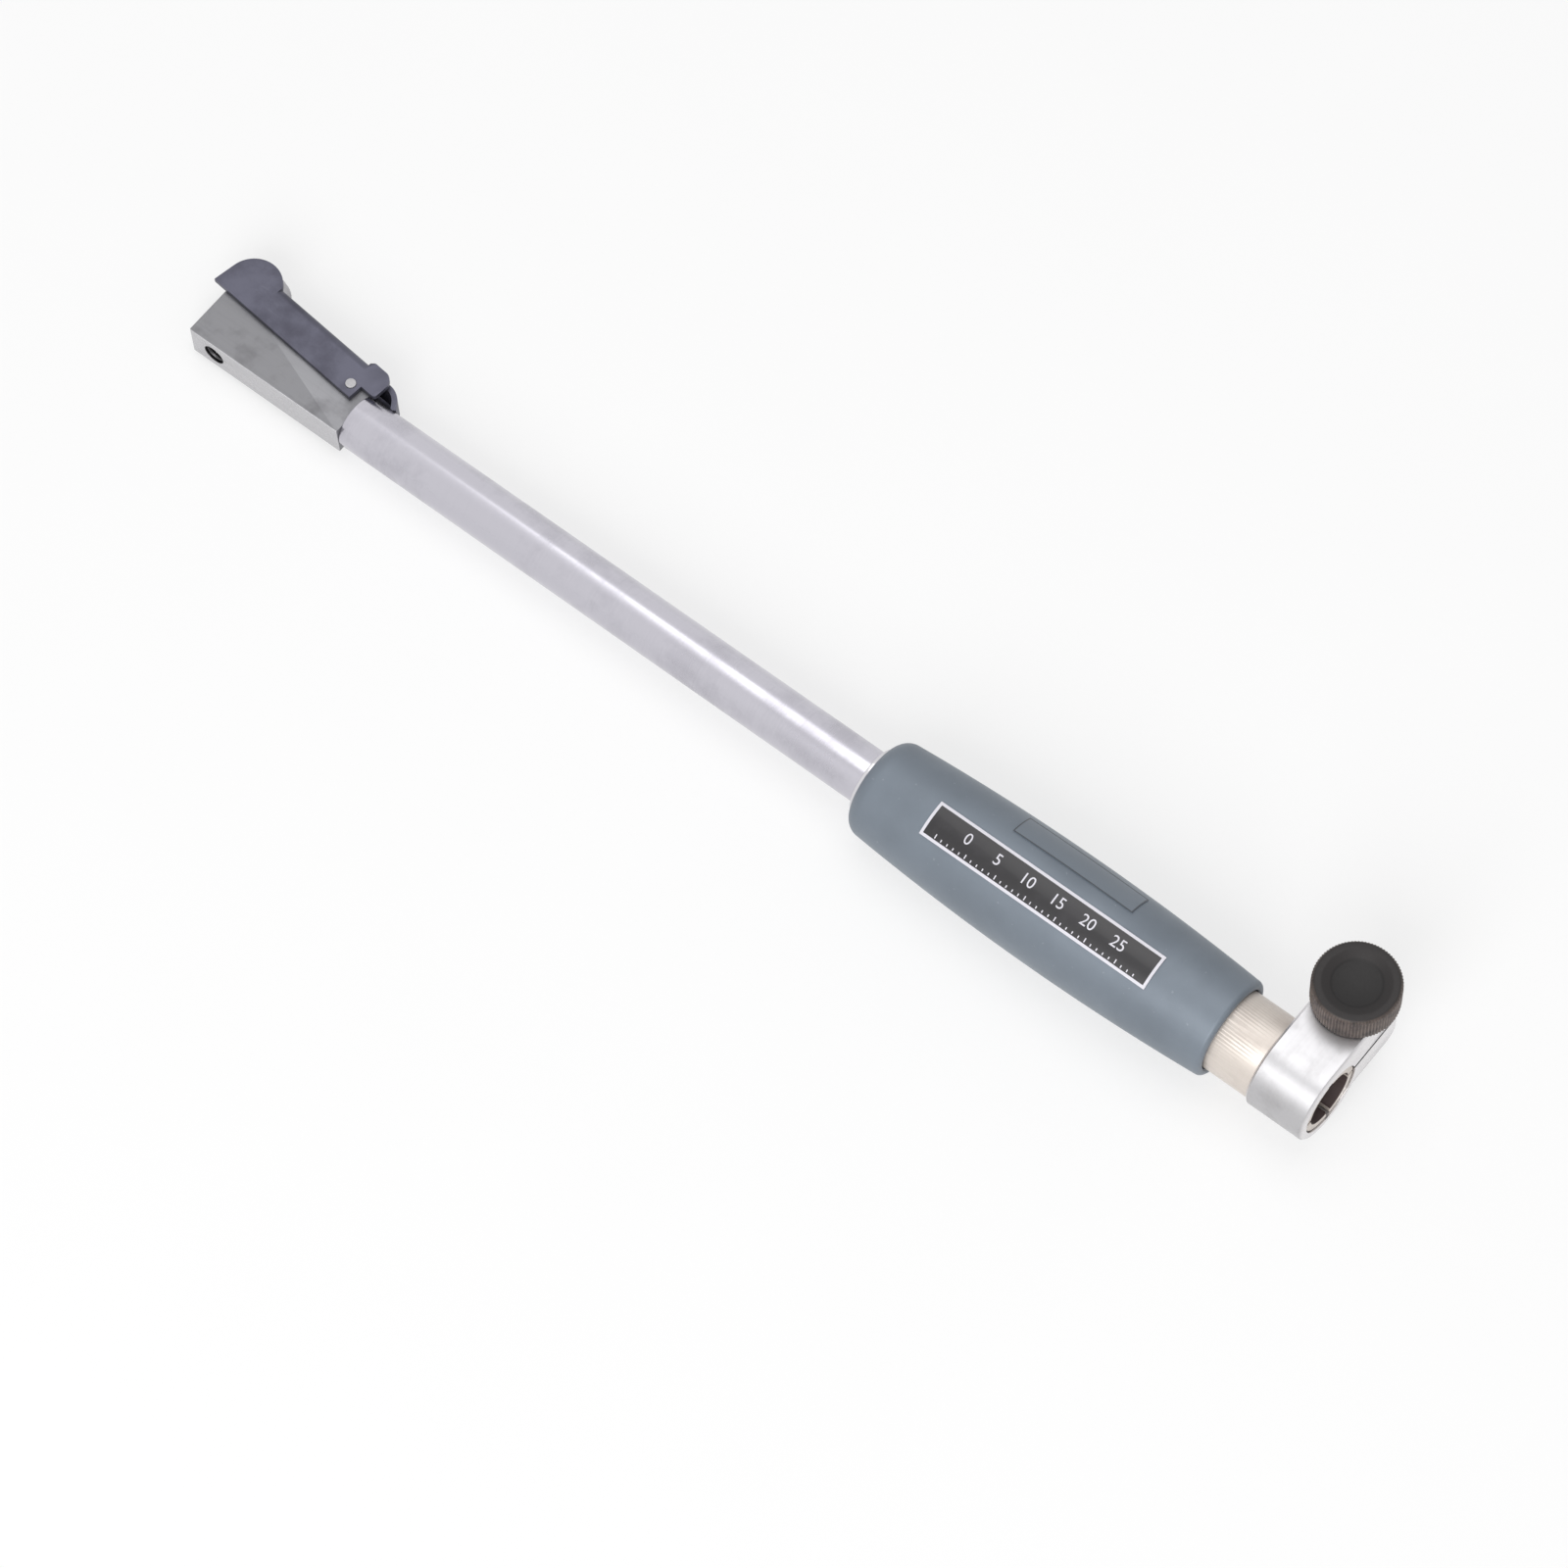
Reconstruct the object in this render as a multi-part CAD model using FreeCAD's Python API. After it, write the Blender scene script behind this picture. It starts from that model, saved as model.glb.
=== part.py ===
import FreeCAD, Part
import math
import os

# Dial bore gauge, the hand gauge without its dial indicator and without an anvil.
#
# Frame: the origin is the centre of the mouth of the 8 mm indicator bore. +X points out of the
# mouth along the stem, so the measuring head lies towards -X. +Y is the measuring direction,
# towards the movable contact, and the anvil screws in from -Y. +Z is the axis of the thumb knob.
# All sizes are in millimetres, and all angles in degrees.

V = FreeCAD.Vector
ORIGIN = V(0, 0, 0)
X_AXIS = V(1, 0, 0)
Y_AXIS = V(0, 1, 0)
Z_AXIS = V(0, 0, 1)

# ---------------------------------------------------------------- fits and clearances
SEAT_FIT = 0.02          # radial clearance of a pressed or glued seat
RUN_FIT = 0.05           # radial clearance of a sliding or turning fit
FACE_GAP = 0.03          # between two faces that meet and move
CUT_OVER = 1.0           # how far a cutting tool runs past the face it opens
SAME = 1e-6              # two places closer than this are one

# ---------------------------------------------------------------- lengths along the stem
CLAMP_WIDTH = 9.2
CLAMP_PROUD = 0.2        # the clamp stands this far past the bore's mouth
NECK_LENGTH = 7.0        # bare neck between clamp and grip
GRIP_LENGTH = 59.9
TUBE_LENGTH = 91.5       # bare tube between grip and head
HEAD_LENGTH = 27.0

# ---------------------------------------------------------------- stem tube and neck sleeve
TUBE_R = 4.0
TUBE_BORE_R = 3.0
TUBE_END_R = 3.8         # turned down where it sits in the sleeve, so the bore has a shoulder
INDICATOR_R = 4.0        # 8 mm stem of a dial indicator
INDICATOR_DEPTH = 24.0   # from the mouth to the tube's end, which stops the indicator
SOCKET_LENGTH = 12.0     # how deep the tube sits in the sleeve
COLLET_R = 5.2
NECK_R = 6.15
SPIGOT_R = 5.5           # the sleeve's part inside the grip
COLLET_SLOT = 0.8
COLLET_SLOTS = 4
COLLET_SLOT_LENGTH = 8.2

# ---------------------------------------------------------------- grip
GRIP_HEAD_R = 7.4
GRIP_BELLY_R = 8.5
GRIP_CLAMP_R = 7.5
GRIP_BELLY_AT = 34.5     # from the head end
GRIP_SHOULDER = 2.4      # length of the rounded shoulder at the head end
GRIP_EDGE = 0.8          # rounding at the clamp end
GRIP_MOUTH_GAP = 0.15    # shadow line round the neck
GRIP_MOUTH_DEPTH = 1.2
RING_R = 5.0
RING_LENGTH = 1.4
RING_PROUD = 0.6

# ---------------------------------------------------------------- labels on the grip
LABEL_THICK = 0.15
LABEL_GLUE = 0.02
RANGE_LABEL_LENGTH = 37.5
RANGE_LABEL_WIDTH = 5.2
RANGE_LABEL_AT = 30.1    # middle of the label, from the grip's head end
RANGE_LABEL_ANGLE = 18.0  # from +Z towards -Y
PLAIN_LABEL_LENGTH = 19.8
PLAIN_LABEL_WIDTH = 4.4
PLAIN_LABEL_AT = 31.4
PLAIN_LABEL_ANGLE = -32.0

# ---------------------------------------------------------------- clamp, screw and knob
CLAMP_R = 6.65
CLAMP_BORE_GAP = 0.15    # round the open collet
EAR_REACH = 14.9         # end of the clamp's ear, from the stem's axis
EAR_BOTTOM = 4.2         # underside of the ear, below the axis
EAR_TOP_ROUND = 0.9
EAR_BOTTOM_ROUND = 2.6
CLAMP_CHAMFER = 0.35
SLIT_WIDTH = 0.7
SLIT_HEIGHT = 1.05       # middle of the slit, above the axis
KNOB_REACH = 11.2        # knob's axis, from the stem's axis
KNOB_R = 6.1
KNOB_HEIGHT = 5.1
KNOB_CHAMFER = 0.45
KNOB_RIM = 0.9           # flat rim round the dished top
KNOB_DISH_R = 3.4
KNOB_DISH_DEPTH = 0.6
SCREW_R = 1.5
SCREW_HOLE_GAP = 0.2     # clearance hole in the upper ear
SCREW_IN_KNOB = 3.6
SCREW_SHORT = 0.3        # the screw ends this far inside the lower ear
SCREW_CHAMFER = 0.3

# ---------------------------------------------------------------- measuring head
HEAD_HALF_THICK = 2.75
HEAD_HALF_WIDTH = 4.1
HEAD_WIDE_Y = 5.4        # wider guide for the movable contact, on the +Y side
HEAD_RAMP = 1.3
HEAD_CHAMFER = 0.3
HEAD_SPIGOT_LENGTH = 12.0
ROD_PASSAGE_R = 1.65
CONTACT_FROM_TIP = 4.3   # measuring axis, behind the head's front face
ANVIL_HOLE_R = 1.65      # core of an M4 thread
ANVIL_HOLE_DEPTH = 3.2

# ---------------------------------------------------------------- movable contact
CONTACT_TRAVEL = 1.2
CONTACT_REACH = 10.9     # crown of the tip, from the stem's axis
SHANK_R = 1.7
SHANK_END_Y = 2.0
SHANK_END_ROOM = 0.2
BUTTON_R = 2.5
BUTTON_Y = 7.0           # underside of the button
BUTTON_SIDE = 2.7
TIP_R = 1.1
TIP_CROWN = 0.45
TIP_DEPTH = 1.2

# ---------------------------------------------------------------- bell crank
CRANK_ARM = 3.4
CRANK_THICK = 1.5
CRANK_SIDE_GAP = 0.1
CRANK_HUB_R = 1.1
CRANK_NOSE_R = 0.8
CRANK_ARM_WIDTH = 0.9
CRANK_PIN_R = 0.5
CRANK_ROOM = 0.25

# ---------------------------------------------------------------- push rod and its spring
ROD_R = 1.5
ROD_SHORT = 3.0          # the cap's end, from the tube's clamp end, inside the tube
CAP_R = 2.0
CAP_LENGTH = 4.0
CAP_SOCKET = 2.5
BUSH_LENGTH = 6.0
BUSH_LOWER_R = 2.3
BUSH_TO_CAP = 1.0
COLLAR_R = 2.75
COLLAR_LENGTH = 2.0
ROD_SPRING_LENGTH = 18.0
ROD_SPRING_WIRE = 0.5
ROD_SPRING_TURNS = 8

# ---------------------------------------------------------------- centring guard
SHEET = 0.8
GUARD_SIDE_GAP = 0.15    # between the head and each wall of the guard
GUARD_REST = 6.0         # how far the guard stands open at rest
GUARD_PIN_BACK = 2.95    # hinge pin, from the tube's head end
GUARD_PIN_Y = 2.65
GUARD_PIN_R = 0.75
GUARD_PIN_PROUD = 0.1
GUARD_EDGE = 1.65        # open edge of the walls, below the pin
GUARD_WEB = 4.1          # outside of the web, above the pin
GUARD_BEND_R = 0.5       # inside radius of the fold
GUARD_PAST_HEAD = 1.95   # front corner of the walls, ahead of the head's front face
GUARD_NOSE_LIFT = 0.15   # the open edge rises by this to the front corner
LOBE_PAST_CONTACT = 1.65  # middle of the lobe, ahead of the measuring axis
LOBE_UP = 1.55
LOBE_R = 4.25
CONTACT_NOTCH_GAP = 0.7  # round the button, in the web
EAR_STEP = 1.4           # end of the deep part of the walls, behind the pin
EAR_END = 4.0
EAR_RISE = 0.5           # the hinge ears stand this far above the web
EAR_RISE_AT = 0.2
EAR_TUBE_GAP = 0.12
EAR_ROUND = 1.7
TAIL_WIDTH = 4.2
TAIL_FLAT = 3.5
TAIL_BEND_R = 2.6        # inside radius of the curl
TAIL_BEND_ANGLE = 52.0
TAIL_TIP = 1.2
TAIL_TUBE_GAP = 0.1
GUARD_SPRING_AHEAD = 6.0
GUARD_SPRING_R = 1.05    # middle of the wire
GUARD_SPRING_WIRE = 0.3
GUARD_SPRING_TURNS = 4.5
GUARD_SPRING_FLOOR = 0.7  # metal left above the rod's passage
GUARD_SPRING_ROOM = 0.2

# ---------------------------------------------------------------- places that follow
clamp_end_x = CLAMP_PROUD
clamp_back_x = clamp_end_x - CLAMP_WIDTH
grip_clamp_x = clamp_back_x - NECK_LENGTH
grip_head_x = grip_clamp_x - GRIP_LENGTH
tube_head_x = grip_head_x - TUBE_LENGTH
tube_clamp_x = -INDICATOR_DEPTH
sleeve_end_x = tube_clamp_x - SOCKET_LENGTH
head_tip_x = tube_head_x - HEAD_LENGTH
contact_x = head_tip_x + CONTACT_FROM_TIP

knob_x = 0.5 * (clamp_end_x + clamp_back_x)
knob_base_z = CLAMP_R + FACE_GAP
screw_top_z = knob_base_z + SCREW_IN_KNOB
screw_bottom_z = -EAR_BOTTOM + SCREW_SHORT

# The crank's arms are square to the contact and to the rod half way through the travel, so equal
# arms pass the movement on one to one. Its pin lies one arm from both axes.
crank_x = contact_x + CRANK_ARM
crank_y = CRANK_ARM
crank_half_turn = math.degrees(math.asin(0.5 * CONTACT_TRAVEL / CRANK_ARM))
crank_slot_half = 0.5 * CRANK_THICK + CRANK_SIDE_GAP
rod_head_x = crank_x - 0.5 * CONTACT_TRAVEL + CRANK_NOSE_R + FACE_GAP
cap_end_x = tube_clamp_x - ROD_SHORT
rod_clamp_x = cap_end_x - CAP_LENGTH + CAP_SOCKET
upper_bush_x = cap_end_x - CAP_LENGTH - BUSH_TO_CAP - BUSH_LENGTH
collar_x = upper_bush_x - ROD_SPRING_LENGTH - COLLAR_LENGTH
spigot_end_x = tube_head_x + HEAD_SPIGOT_LENGTH

guard_pin = V(tube_head_x - GUARD_PIN_BACK, GUARD_PIN_Y, 0)
guard_nose = guard_pin.x - head_tip_x + GUARD_PAST_HEAD
guard_contact = guard_pin.x - contact_x
lobe_ahead = guard_contact + LOBE_PAST_CONTACT
guard_inside = HEAD_HALF_THICK + GUARD_SIDE_GAP
guard_outside = guard_inside + SHEET
guard_spring_x = guard_pin.x - GUARD_SPRING_AHEAD
guard_spring_floor_y = ROD_PASSAGE_R + GUARD_SPRING_FLOOR


# ---------------------------------------------------------------- helpers
def cylinder(start, direction, radius, length):
    """Cylinder from a point, along a direction."""
    return Part.makeCylinder(radius, length, start, direction)


def box(low, high):
    """Box between two opposite corners."""
    return Part.makeBox(high.x - low.x, high.y - low.y, high.z - low.z, low)


def tube_x(x_low, x_high, outer_r, inner_r):
    """Round sleeve about the stem's axis."""
    length = x_high - x_low
    outer = cylinder(V(x_low, 0, 0), X_AXIS, outer_r, length)
    inner = cylinder(V(x_low - CUT_OVER, 0, 0), X_AXIS, inner_r, length + 2 * CUT_OVER)
    return outer.cut(inner)


def line(a, b):
    """Straight edge."""
    return Part.LineSegment(a, b).toShape()


def arc(a, middle, b):
    """Arc edge through three points."""
    return Part.Arc(a, middle, b).toShape()


def chain(points):
    """Straight edges through a list of points."""
    return [line(a, b) for a, b in zip(points, points[1:])]


def rounded_chain(corners):
    """Edges through (point, radius) corners: each inner corner is rounded by a tangent arc."""
    edges = []
    here = corners[0][0]
    for (before, _), (corner, radius), (after, _) in zip(corners, corners[1:], corners[2:]):
        if radius <= 0:
            edges.append(line(here, corner))
            here = corner
            continue
        back = (before - corner).normalize()
        ahead = (after - corner).normalize()
        half = 0.5 * back.getAngle(ahead)
        reach = radius / math.tan(half)
        middle = (back + ahead).normalize() * (radius / math.sin(half) - radius)
        start = corner + back * reach
        end = corner + ahead * reach
        edges += [line(here, start), arc(start, corner + middle, end)]
        here = end
    edges.append(line(here, corners[-1][0]))
    return edges


def face(edges):
    """Flat face inside a closed run of edges."""
    return Part.Face(Part.Wire(Part.__sortEdges__(edges)))


def prism_z(edges, half_height):
    """Outline in the XY plane, carried as far above the plane as below it."""
    flat = face(edges)
    flat.translate(V(0, 0, -half_height))
    return flat.extrude(V(0, 0, 2 * half_height))


def turned(edges, axis=X_AXIS):
    """Solid turned about an axis through the origin, from its half section in the XY plane."""
    return face(edges).revolve(ORIGIN, axis, 360)


def coil(radius, wire_r, length, turns):
    """Coil spring about Z, from z = 0 to the given length over its wire."""
    height = length - 2 * wire_r
    helix = Part.Wire(Part.makeHelix(height / turns, height, radius).Edges)
    section = Part.Wire(Part.makeCircle(wire_r, V(radius, 0, 0), Y_AXIS))
    spring = helix.makePipeShell([section], True, True)
    spring.translate(V(0, 0, wire_r))
    return spring


def at_knob(shape):
    """Move a shape made about the Z axis to the knob's axis."""
    return shape.translated(V(knob_x, KNOB_REACH, 0))


# ---------------------------------------------------------------- stem, sleeve and grip
def make_stem_tube():
    stem = tube_x(tube_head_x, sleeve_end_x, TUBE_R, TUBE_BORE_R)
    return stem.fuse(tube_x(sleeve_end_x, tube_clamp_x, TUBE_END_R, TUBE_BORE_R)).removeSplitter()


def make_neck_sleeve():
    """Turned sleeve: slotted collet, bare neck, and a spigot inside the grip."""
    neck_end_x = grip_clamp_x - GRIP_MOUTH_DEPTH
    socket_r = TUBE_END_R + SEAT_FIT
    outline = chain([
        V(sleeve_end_x, socket_r, 0), V(sleeve_end_x, SPIGOT_R, 0),
        V(neck_end_x, SPIGOT_R, 0), V(neck_end_x, NECK_R, 0),
        V(clamp_back_x, NECK_R, 0), V(clamp_back_x, COLLET_R, 0),
        V(0, COLLET_R, 0), V(0, INDICATOR_R, 0), V(tube_clamp_x, INDICATOR_R, 0),
        V(tube_clamp_x, socket_r, 0), V(sleeve_end_x, socket_r, 0)])
    sleeve = turned(outline)
    for i in range(COLLET_SLOTS):
        half = 0.5 * COLLET_SLOT
        slot = box(V(-COLLET_SLOT_LENGTH, -half, 0.5 * INDICATOR_R), V(CUT_OVER, half, COLLET_R + CUT_OVER))
        slot.rotate(ORIGIN, X_AXIS, i * 360.0 / COLLET_SLOTS)
        sleeve = sleeve.cut(slot)
    return sleeve


def belly_arc(offset, x_low=None, x_high=None):
    """The grip's barrel curve, or a stretch of it, moved outwards by an offset."""
    ends = [V(grip_head_x + GRIP_SHOULDER, GRIP_HEAD_R, 0), V(grip_clamp_x - GRIP_EDGE, GRIP_CLAMP_R, 0)]
    crown = V(grip_head_x + GRIP_BELLY_AT, GRIP_BELLY_R, 0)
    circle = arc(ends[0], crown, ends[1]).Curve
    centre, radius = circle.Center, circle.Radius + offset
    low = ends[0].x if x_low is None else x_low
    high = ends[1].x if x_high is None else x_high

    def on_curve(x):
        return V(x, centre.y + math.sqrt(radius ** 2 - (x - centre.x) ** 2), 0)

    return on_curve(low), on_curve(0.5 * (low + high)), on_curve(high)


def make_grip():
    """Moulded barrel with a rounded shoulder, bored for the tube and for the sleeve's spigot."""
    head_end, middle, clamp_end = belly_arc(0)
    rim = V(grip_head_x, RING_R + SEAT_FIT, 0)
    shoulder = V(grip_head_x + 0.3 * GRIP_SHOULDER, rim.y + 0.74 * (head_end.y - rim.y), 0)
    edge = V(grip_clamp_x, GRIP_CLAMP_R - GRIP_EDGE, 0)
    edge_round = V(grip_clamp_x - 0.29 * GRIP_EDGE, GRIP_CLAMP_R - 0.29 * GRIP_EDGE, 0)
    ring_seat_x = grip_head_x + RING_LENGTH - RING_PROUD
    mouth_r = NECK_R + GRIP_MOUTH_GAP
    mouth_x = grip_clamp_x - GRIP_MOUTH_DEPTH
    outline = [arc(rim, shoulder, head_end), arc(head_end, middle, clamp_end), arc(clamp_end, edge_round, edge)]
    outline += chain([
        edge, V(grip_clamp_x, mouth_r, 0), V(mouth_x, mouth_r, 0),
        V(mouth_x, SPIGOT_R + SEAT_FIT, 0), V(sleeve_end_x, SPIGOT_R + SEAT_FIT, 0),
        V(sleeve_end_x, TUBE_R + SEAT_FIT, 0), V(ring_seat_x, TUBE_R + SEAT_FIT, 0),
        V(ring_seat_x, RING_R + SEAT_FIT, 0), rim])
    return turned(outline)


def make_grip_ring():
    return tube_x(grip_head_x - RING_PROUD, grip_head_x + RING_LENGTH - RING_PROUD, RING_R, TUBE_R + SEAT_FIT)


def make_label(length, width, along, turn):
    """Thin label wrapped on the barrel: a turned skin, kept only inside a radial prism."""
    x_low = grip_head_x + along - 0.5 * length
    x_high = x_low + length
    low = belly_arc(LABEL_GLUE, x_low, x_high)
    high = belly_arc(LABEL_GLUE + LABEL_THICK, x_low, x_high)
    skin = turned([arc(*low), line(low[2], high[2]), arc(*high), line(high[0], low[0])])
    prism = box(V(x_low, -0.5 * width, 0), V(x_high, 0.5 * width, 2 * GRIP_BELLY_R))
    prism.rotate(ORIGIN, X_AXIS, turn)
    return skin.common(prism)


# ---------------------------------------------------------------- clamp, screw and knob
def make_clamp_block():
    """Split collar with an ear: one profile across the stem, drilled down through the ear."""
    top_end = V(0, EAR_REACH, CLAMP_R)
    low_start_y = math.sqrt(CLAMP_R ** 2 - EAR_BOTTOM ** 2)
    corners = [
        (V(0, 0, CLAMP_R), 0), (top_end, EAR_TOP_ROUND),
        (V(0, EAR_REACH, -EAR_BOTTOM), EAR_BOTTOM_ROUND), (V(0, low_start_y, -EAR_BOTTOM), 0)]
    outline = rounded_chain(corners)
    outline.append(arc(corners[-1][0], V(0, -CLAMP_R, 0), corners[0][0]))
    flat = face(outline)
    flat.translate(V(clamp_back_x, 0, 0))
    block = flat.extrude(V(CLAMP_WIDTH, 0, 0))
    rims = [e for e in block.Edges
            if abs(e.BoundBox.XLength) < SAME and abs(e.CenterOfMass.x - knob_x) > 0.4 * CLAMP_WIDTH]
    block = block.makeChamfer(CLAMP_CHAMFER, rims)
    bore = cylinder(V(clamp_back_x - CUT_OVER, 0, 0), X_AXIS, COLLET_R + CLAMP_BORE_GAP, CLAMP_WIDTH + 2 * CUT_OVER)
    slit = box(
        V(clamp_back_x - CUT_OVER, 0, SLIT_HEIGHT - 0.5 * SLIT_WIDTH),
        V(clamp_end_x + CUT_OVER, EAR_REACH + CUT_OVER, SLIT_HEIGHT + 0.5 * SLIT_WIDTH))
    upper = at_knob(cylinder(V(0, 0, SLIT_HEIGHT), Z_AXIS, SCREW_R + SCREW_HOLE_GAP, CLAMP_R + CUT_OVER))
    lower_depth = EAR_BOTTOM + CUT_OVER
    lower = at_knob(cylinder(V(0, 0, -lower_depth), Z_AXIS, SCREW_R + RUN_FIT, SLIT_HEIGHT + lower_depth))
    return block.cut(bore).cut(slit).cut(upper).cut(lower)


def make_clamp_screw():
    """Stud with chamfered ends, threaded into the lower ear and fixed in the knob."""
    small_r = SCREW_R - SCREW_CHAMFER
    outline = chain([
        V(0, screw_bottom_z, 0), V(small_r, screw_bottom_z, 0), V(SCREW_R, screw_bottom_z + SCREW_CHAMFER, 0),
        V(SCREW_R, screw_top_z - SCREW_CHAMFER, 0), V(small_r, screw_top_z, 0), V(0, screw_top_z, 0),
        V(0, screw_bottom_z, 0)])
    screw = turned(outline, Y_AXIS)
    screw.rotate(ORIGIN, X_AXIS, 90)
    return at_knob(screw)


def make_thumb_knob():
    """Turned knob with chamfered rims, a dished top and a blind hole for the stud."""
    top = knob_base_z + KNOB_HEIGHT
    rim_r = KNOB_R - KNOB_CHAMFER
    hole_r = SCREW_R + RUN_FIT
    hole_top = screw_top_z + FACE_GAP
    dish_edge = V(rim_r - KNOB_RIM, top, 0)
    dish_floor = V(KNOB_DISH_R, top - KNOB_DISH_DEPTH, 0)
    outline = chain([
        V(hole_r, knob_base_z, 0), V(rim_r, knob_base_z, 0), V(KNOB_R, knob_base_z + KNOB_CHAMFER, 0),
        V(KNOB_R, top - KNOB_CHAMFER, 0), V(rim_r, top, 0), dish_edge, dish_floor,
        V(0, dish_floor.y, 0), V(0, hole_top, 0), V(hole_r, hole_top, 0), V(hole_r, knob_base_z, 0)])
    knob = turned(outline, Y_AXIS)
    knob.rotate(ORIGIN, X_AXIS, 90)
    return at_knob(knob)


# ---------------------------------------------------------------- measuring head
def make_head_body():
    """Flat steel head: bar and round spigot, with the contact's bore, the crank's slot, the rod's
    passage, the anvil's threaded hole, the guard spring's pocket and two cross holes."""
    ramp_x = crank_x + CRANK_HUB_R + CRANK_ROOM + HEAD_RAMP
    bar = prism_z(chain([
        V(head_tip_x, -HEAD_HALF_WIDTH, 0), V(tube_head_x, -HEAD_HALF_WIDTH, 0),
        V(tube_head_x, HEAD_HALF_WIDTH, 0), V(ramp_x + HEAD_RAMP, HEAD_HALF_WIDTH, 0),
        V(ramp_x, HEAD_WIDE_Y, 0), V(head_tip_x, HEAD_WIDE_Y, 0),
        V(head_tip_x, -HEAD_HALF_WIDTH, 0)]), HEAD_HALF_THICK)
    front = [e for e in bar.Edges if abs(e.CenterOfMass.x - head_tip_x) < SAME]
    bar = bar.makeChamfer(HEAD_CHAMFER, front)
    spigot = cylinder(V(tube_head_x - CUT_OVER, 0, 0), X_AXIS, TUBE_BORE_R - SEAT_FIT, HEAD_SPIGOT_LENGTH + CUT_OVER)
    head = bar.fuse(spigot.common(box(
        V(tube_head_x, -TUBE_R, -TUBE_R), V(spigot_end_x, TUBE_R, TUBE_R)))).removeSplitter()

    passage = cylinder(
        V(rod_head_x - CRANK_ROOM, 0, 0), X_AXIS, ROD_PASSAGE_R, spigot_end_x + CUT_OVER - rod_head_x + CRANK_ROOM)
    bush_seat = cylinder(V(spigot_end_x - BUSH_LENGTH, 0, 0), X_AXIS, BUSH_LOWER_R + SEAT_FIT, BUSH_LENGTH + CUT_OVER)
    bore_floor = SHANK_END_Y - CONTACT_TRAVEL - SHANK_END_ROOM
    contact_bore = cylinder(V(contact_x, bore_floor, 0), Y_AXIS, SHANK_R + RUN_FIT, HEAD_WIDE_Y + CUT_OVER - bore_floor)
    anvil_hole = cylinder(V(contact_x, -HEAD_HALF_WIDTH - CUT_OVER, 0), Y_AXIS, ANVIL_HOLE_R, ANVIL_HOLE_DEPTH + CUT_OVER)

    swing = 0.5 * CONTACT_TRAVEL + CRANK_NOSE_R + CRANK_ROOM
    slot_right = crank_x + max(CRANK_HUB_R + CRANK_ROOM, swing)
    arm_slot = box(
        V(contact_x, crank_y - swing, -crank_slot_half), V(slot_right, HEAD_WIDE_Y + CUT_OVER, crank_slot_half))
    nose_slot = box(
        V(crank_x - swing, -CRANK_NOSE_R - CRANK_ROOM, -crank_slot_half),
        V(slot_right, HEAD_WIDE_Y + CUT_OVER, crank_slot_half))
    crank_hole = cylinder(
        V(crank_x, crank_y, -HEAD_HALF_THICK - CUT_OVER), Z_AXIS, CRANK_PIN_R + SEAT_FIT,
        2 * (HEAD_HALF_THICK + CUT_OVER))
    hinge_hole = cylinder(
        guard_pin - V(0, 0, HEAD_HALF_THICK + CUT_OVER), Z_AXIS, GUARD_PIN_R + SEAT_FIT,
        2 * (HEAD_HALF_THICK + CUT_OVER))
    pocket_r = GUARD_SPRING_R + 0.5 * GUARD_SPRING_WIRE + GUARD_SPRING_ROOM
    pocket = cylinder(
        V(guard_spring_x, guard_spring_floor_y, 0), Y_AXIS, pocket_r,
        HEAD_HALF_WIDTH + CUT_OVER - guard_spring_floor_y)
    for tool in (passage, bush_seat, contact_bore, anvil_hole, arm_slot, nose_slot, crank_hole, hinge_hole, pocket):
        head = head.cut(tool)
    return head


def make_crank_pin():
    return cylinder(V(crank_x, crank_y, -HEAD_HALF_THICK), Z_AXIS, CRANK_PIN_R, 2 * HEAD_HALF_THICK)


def make_plunger():
    """Movable contact: shank with a cross slot for the crank's nose, and a round-edged button."""
    side_y = BUTTON_Y + BUTTON_SIDE
    crown_y = CONTACT_REACH - TIP_CROWN
    seat_r = TIP_R + SEAT_FIT
    dome = V(0.55 * BUTTON_R + 0.45 * seat_r, side_y + 0.72 * (crown_y - side_y), 0)
    side, crown = V(BUTTON_R, side_y, 0), V(seat_r, crown_y, 0)
    seat_y = crown_y - TIP_DEPTH
    outline = chain([
        V(0, SHANK_END_Y, 0), V(SHANK_R, SHANK_END_Y, 0), V(SHANK_R, BUTTON_Y, 0), V(BUTTON_R, BUTTON_Y, 0), side])
    outline.append(arc(side, dome, crown))
    outline += chain([crown, V(seat_r, seat_y, 0), V(0, seat_y, 0), V(0, SHANK_END_Y, 0)])
    plunger = turned(outline, Y_AXIS)
    nose_y = crank_y + 0.5 * CONTACT_TRAVEL
    half = CRANK_NOSE_R + FACE_GAP
    slot = box(
        V(-CRANK_NOSE_R - SEAT_FIT - RUN_FIT, nose_y - half, -crank_slot_half),
        V(SHANK_R + CUT_OVER, nose_y + half, crank_slot_half))
    plunger = plunger.cut(slot)
    plunger.translate(V(contact_x, 0, 0))
    return plunger


def make_contact_tip():
    """Hard metal plug with a domed crown."""
    crown_y = CONTACT_REACH - TIP_CROWN
    seat_y = crown_y - TIP_DEPTH + FACE_GAP
    crown_radius = (TIP_R ** 2 + TIP_CROWN ** 2) / (2 * TIP_CROWN)
    halfway_r = 0.5 * TIP_R
    halfway = V(halfway_r, CONTACT_REACH - crown_radius + math.sqrt(crown_radius ** 2 - halfway_r ** 2), 0)
    outline = chain([V(0, CONTACT_REACH, 0), V(0, seat_y, 0), V(TIP_R, seat_y, 0), V(TIP_R, crown_y, 0)])
    outline.append(arc(V(TIP_R, crown_y, 0), halfway, V(0, CONTACT_REACH, 0)))
    tip = turned(outline, Y_AXIS)
    tip.translate(V(contact_x, 0, 0))
    return tip


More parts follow.
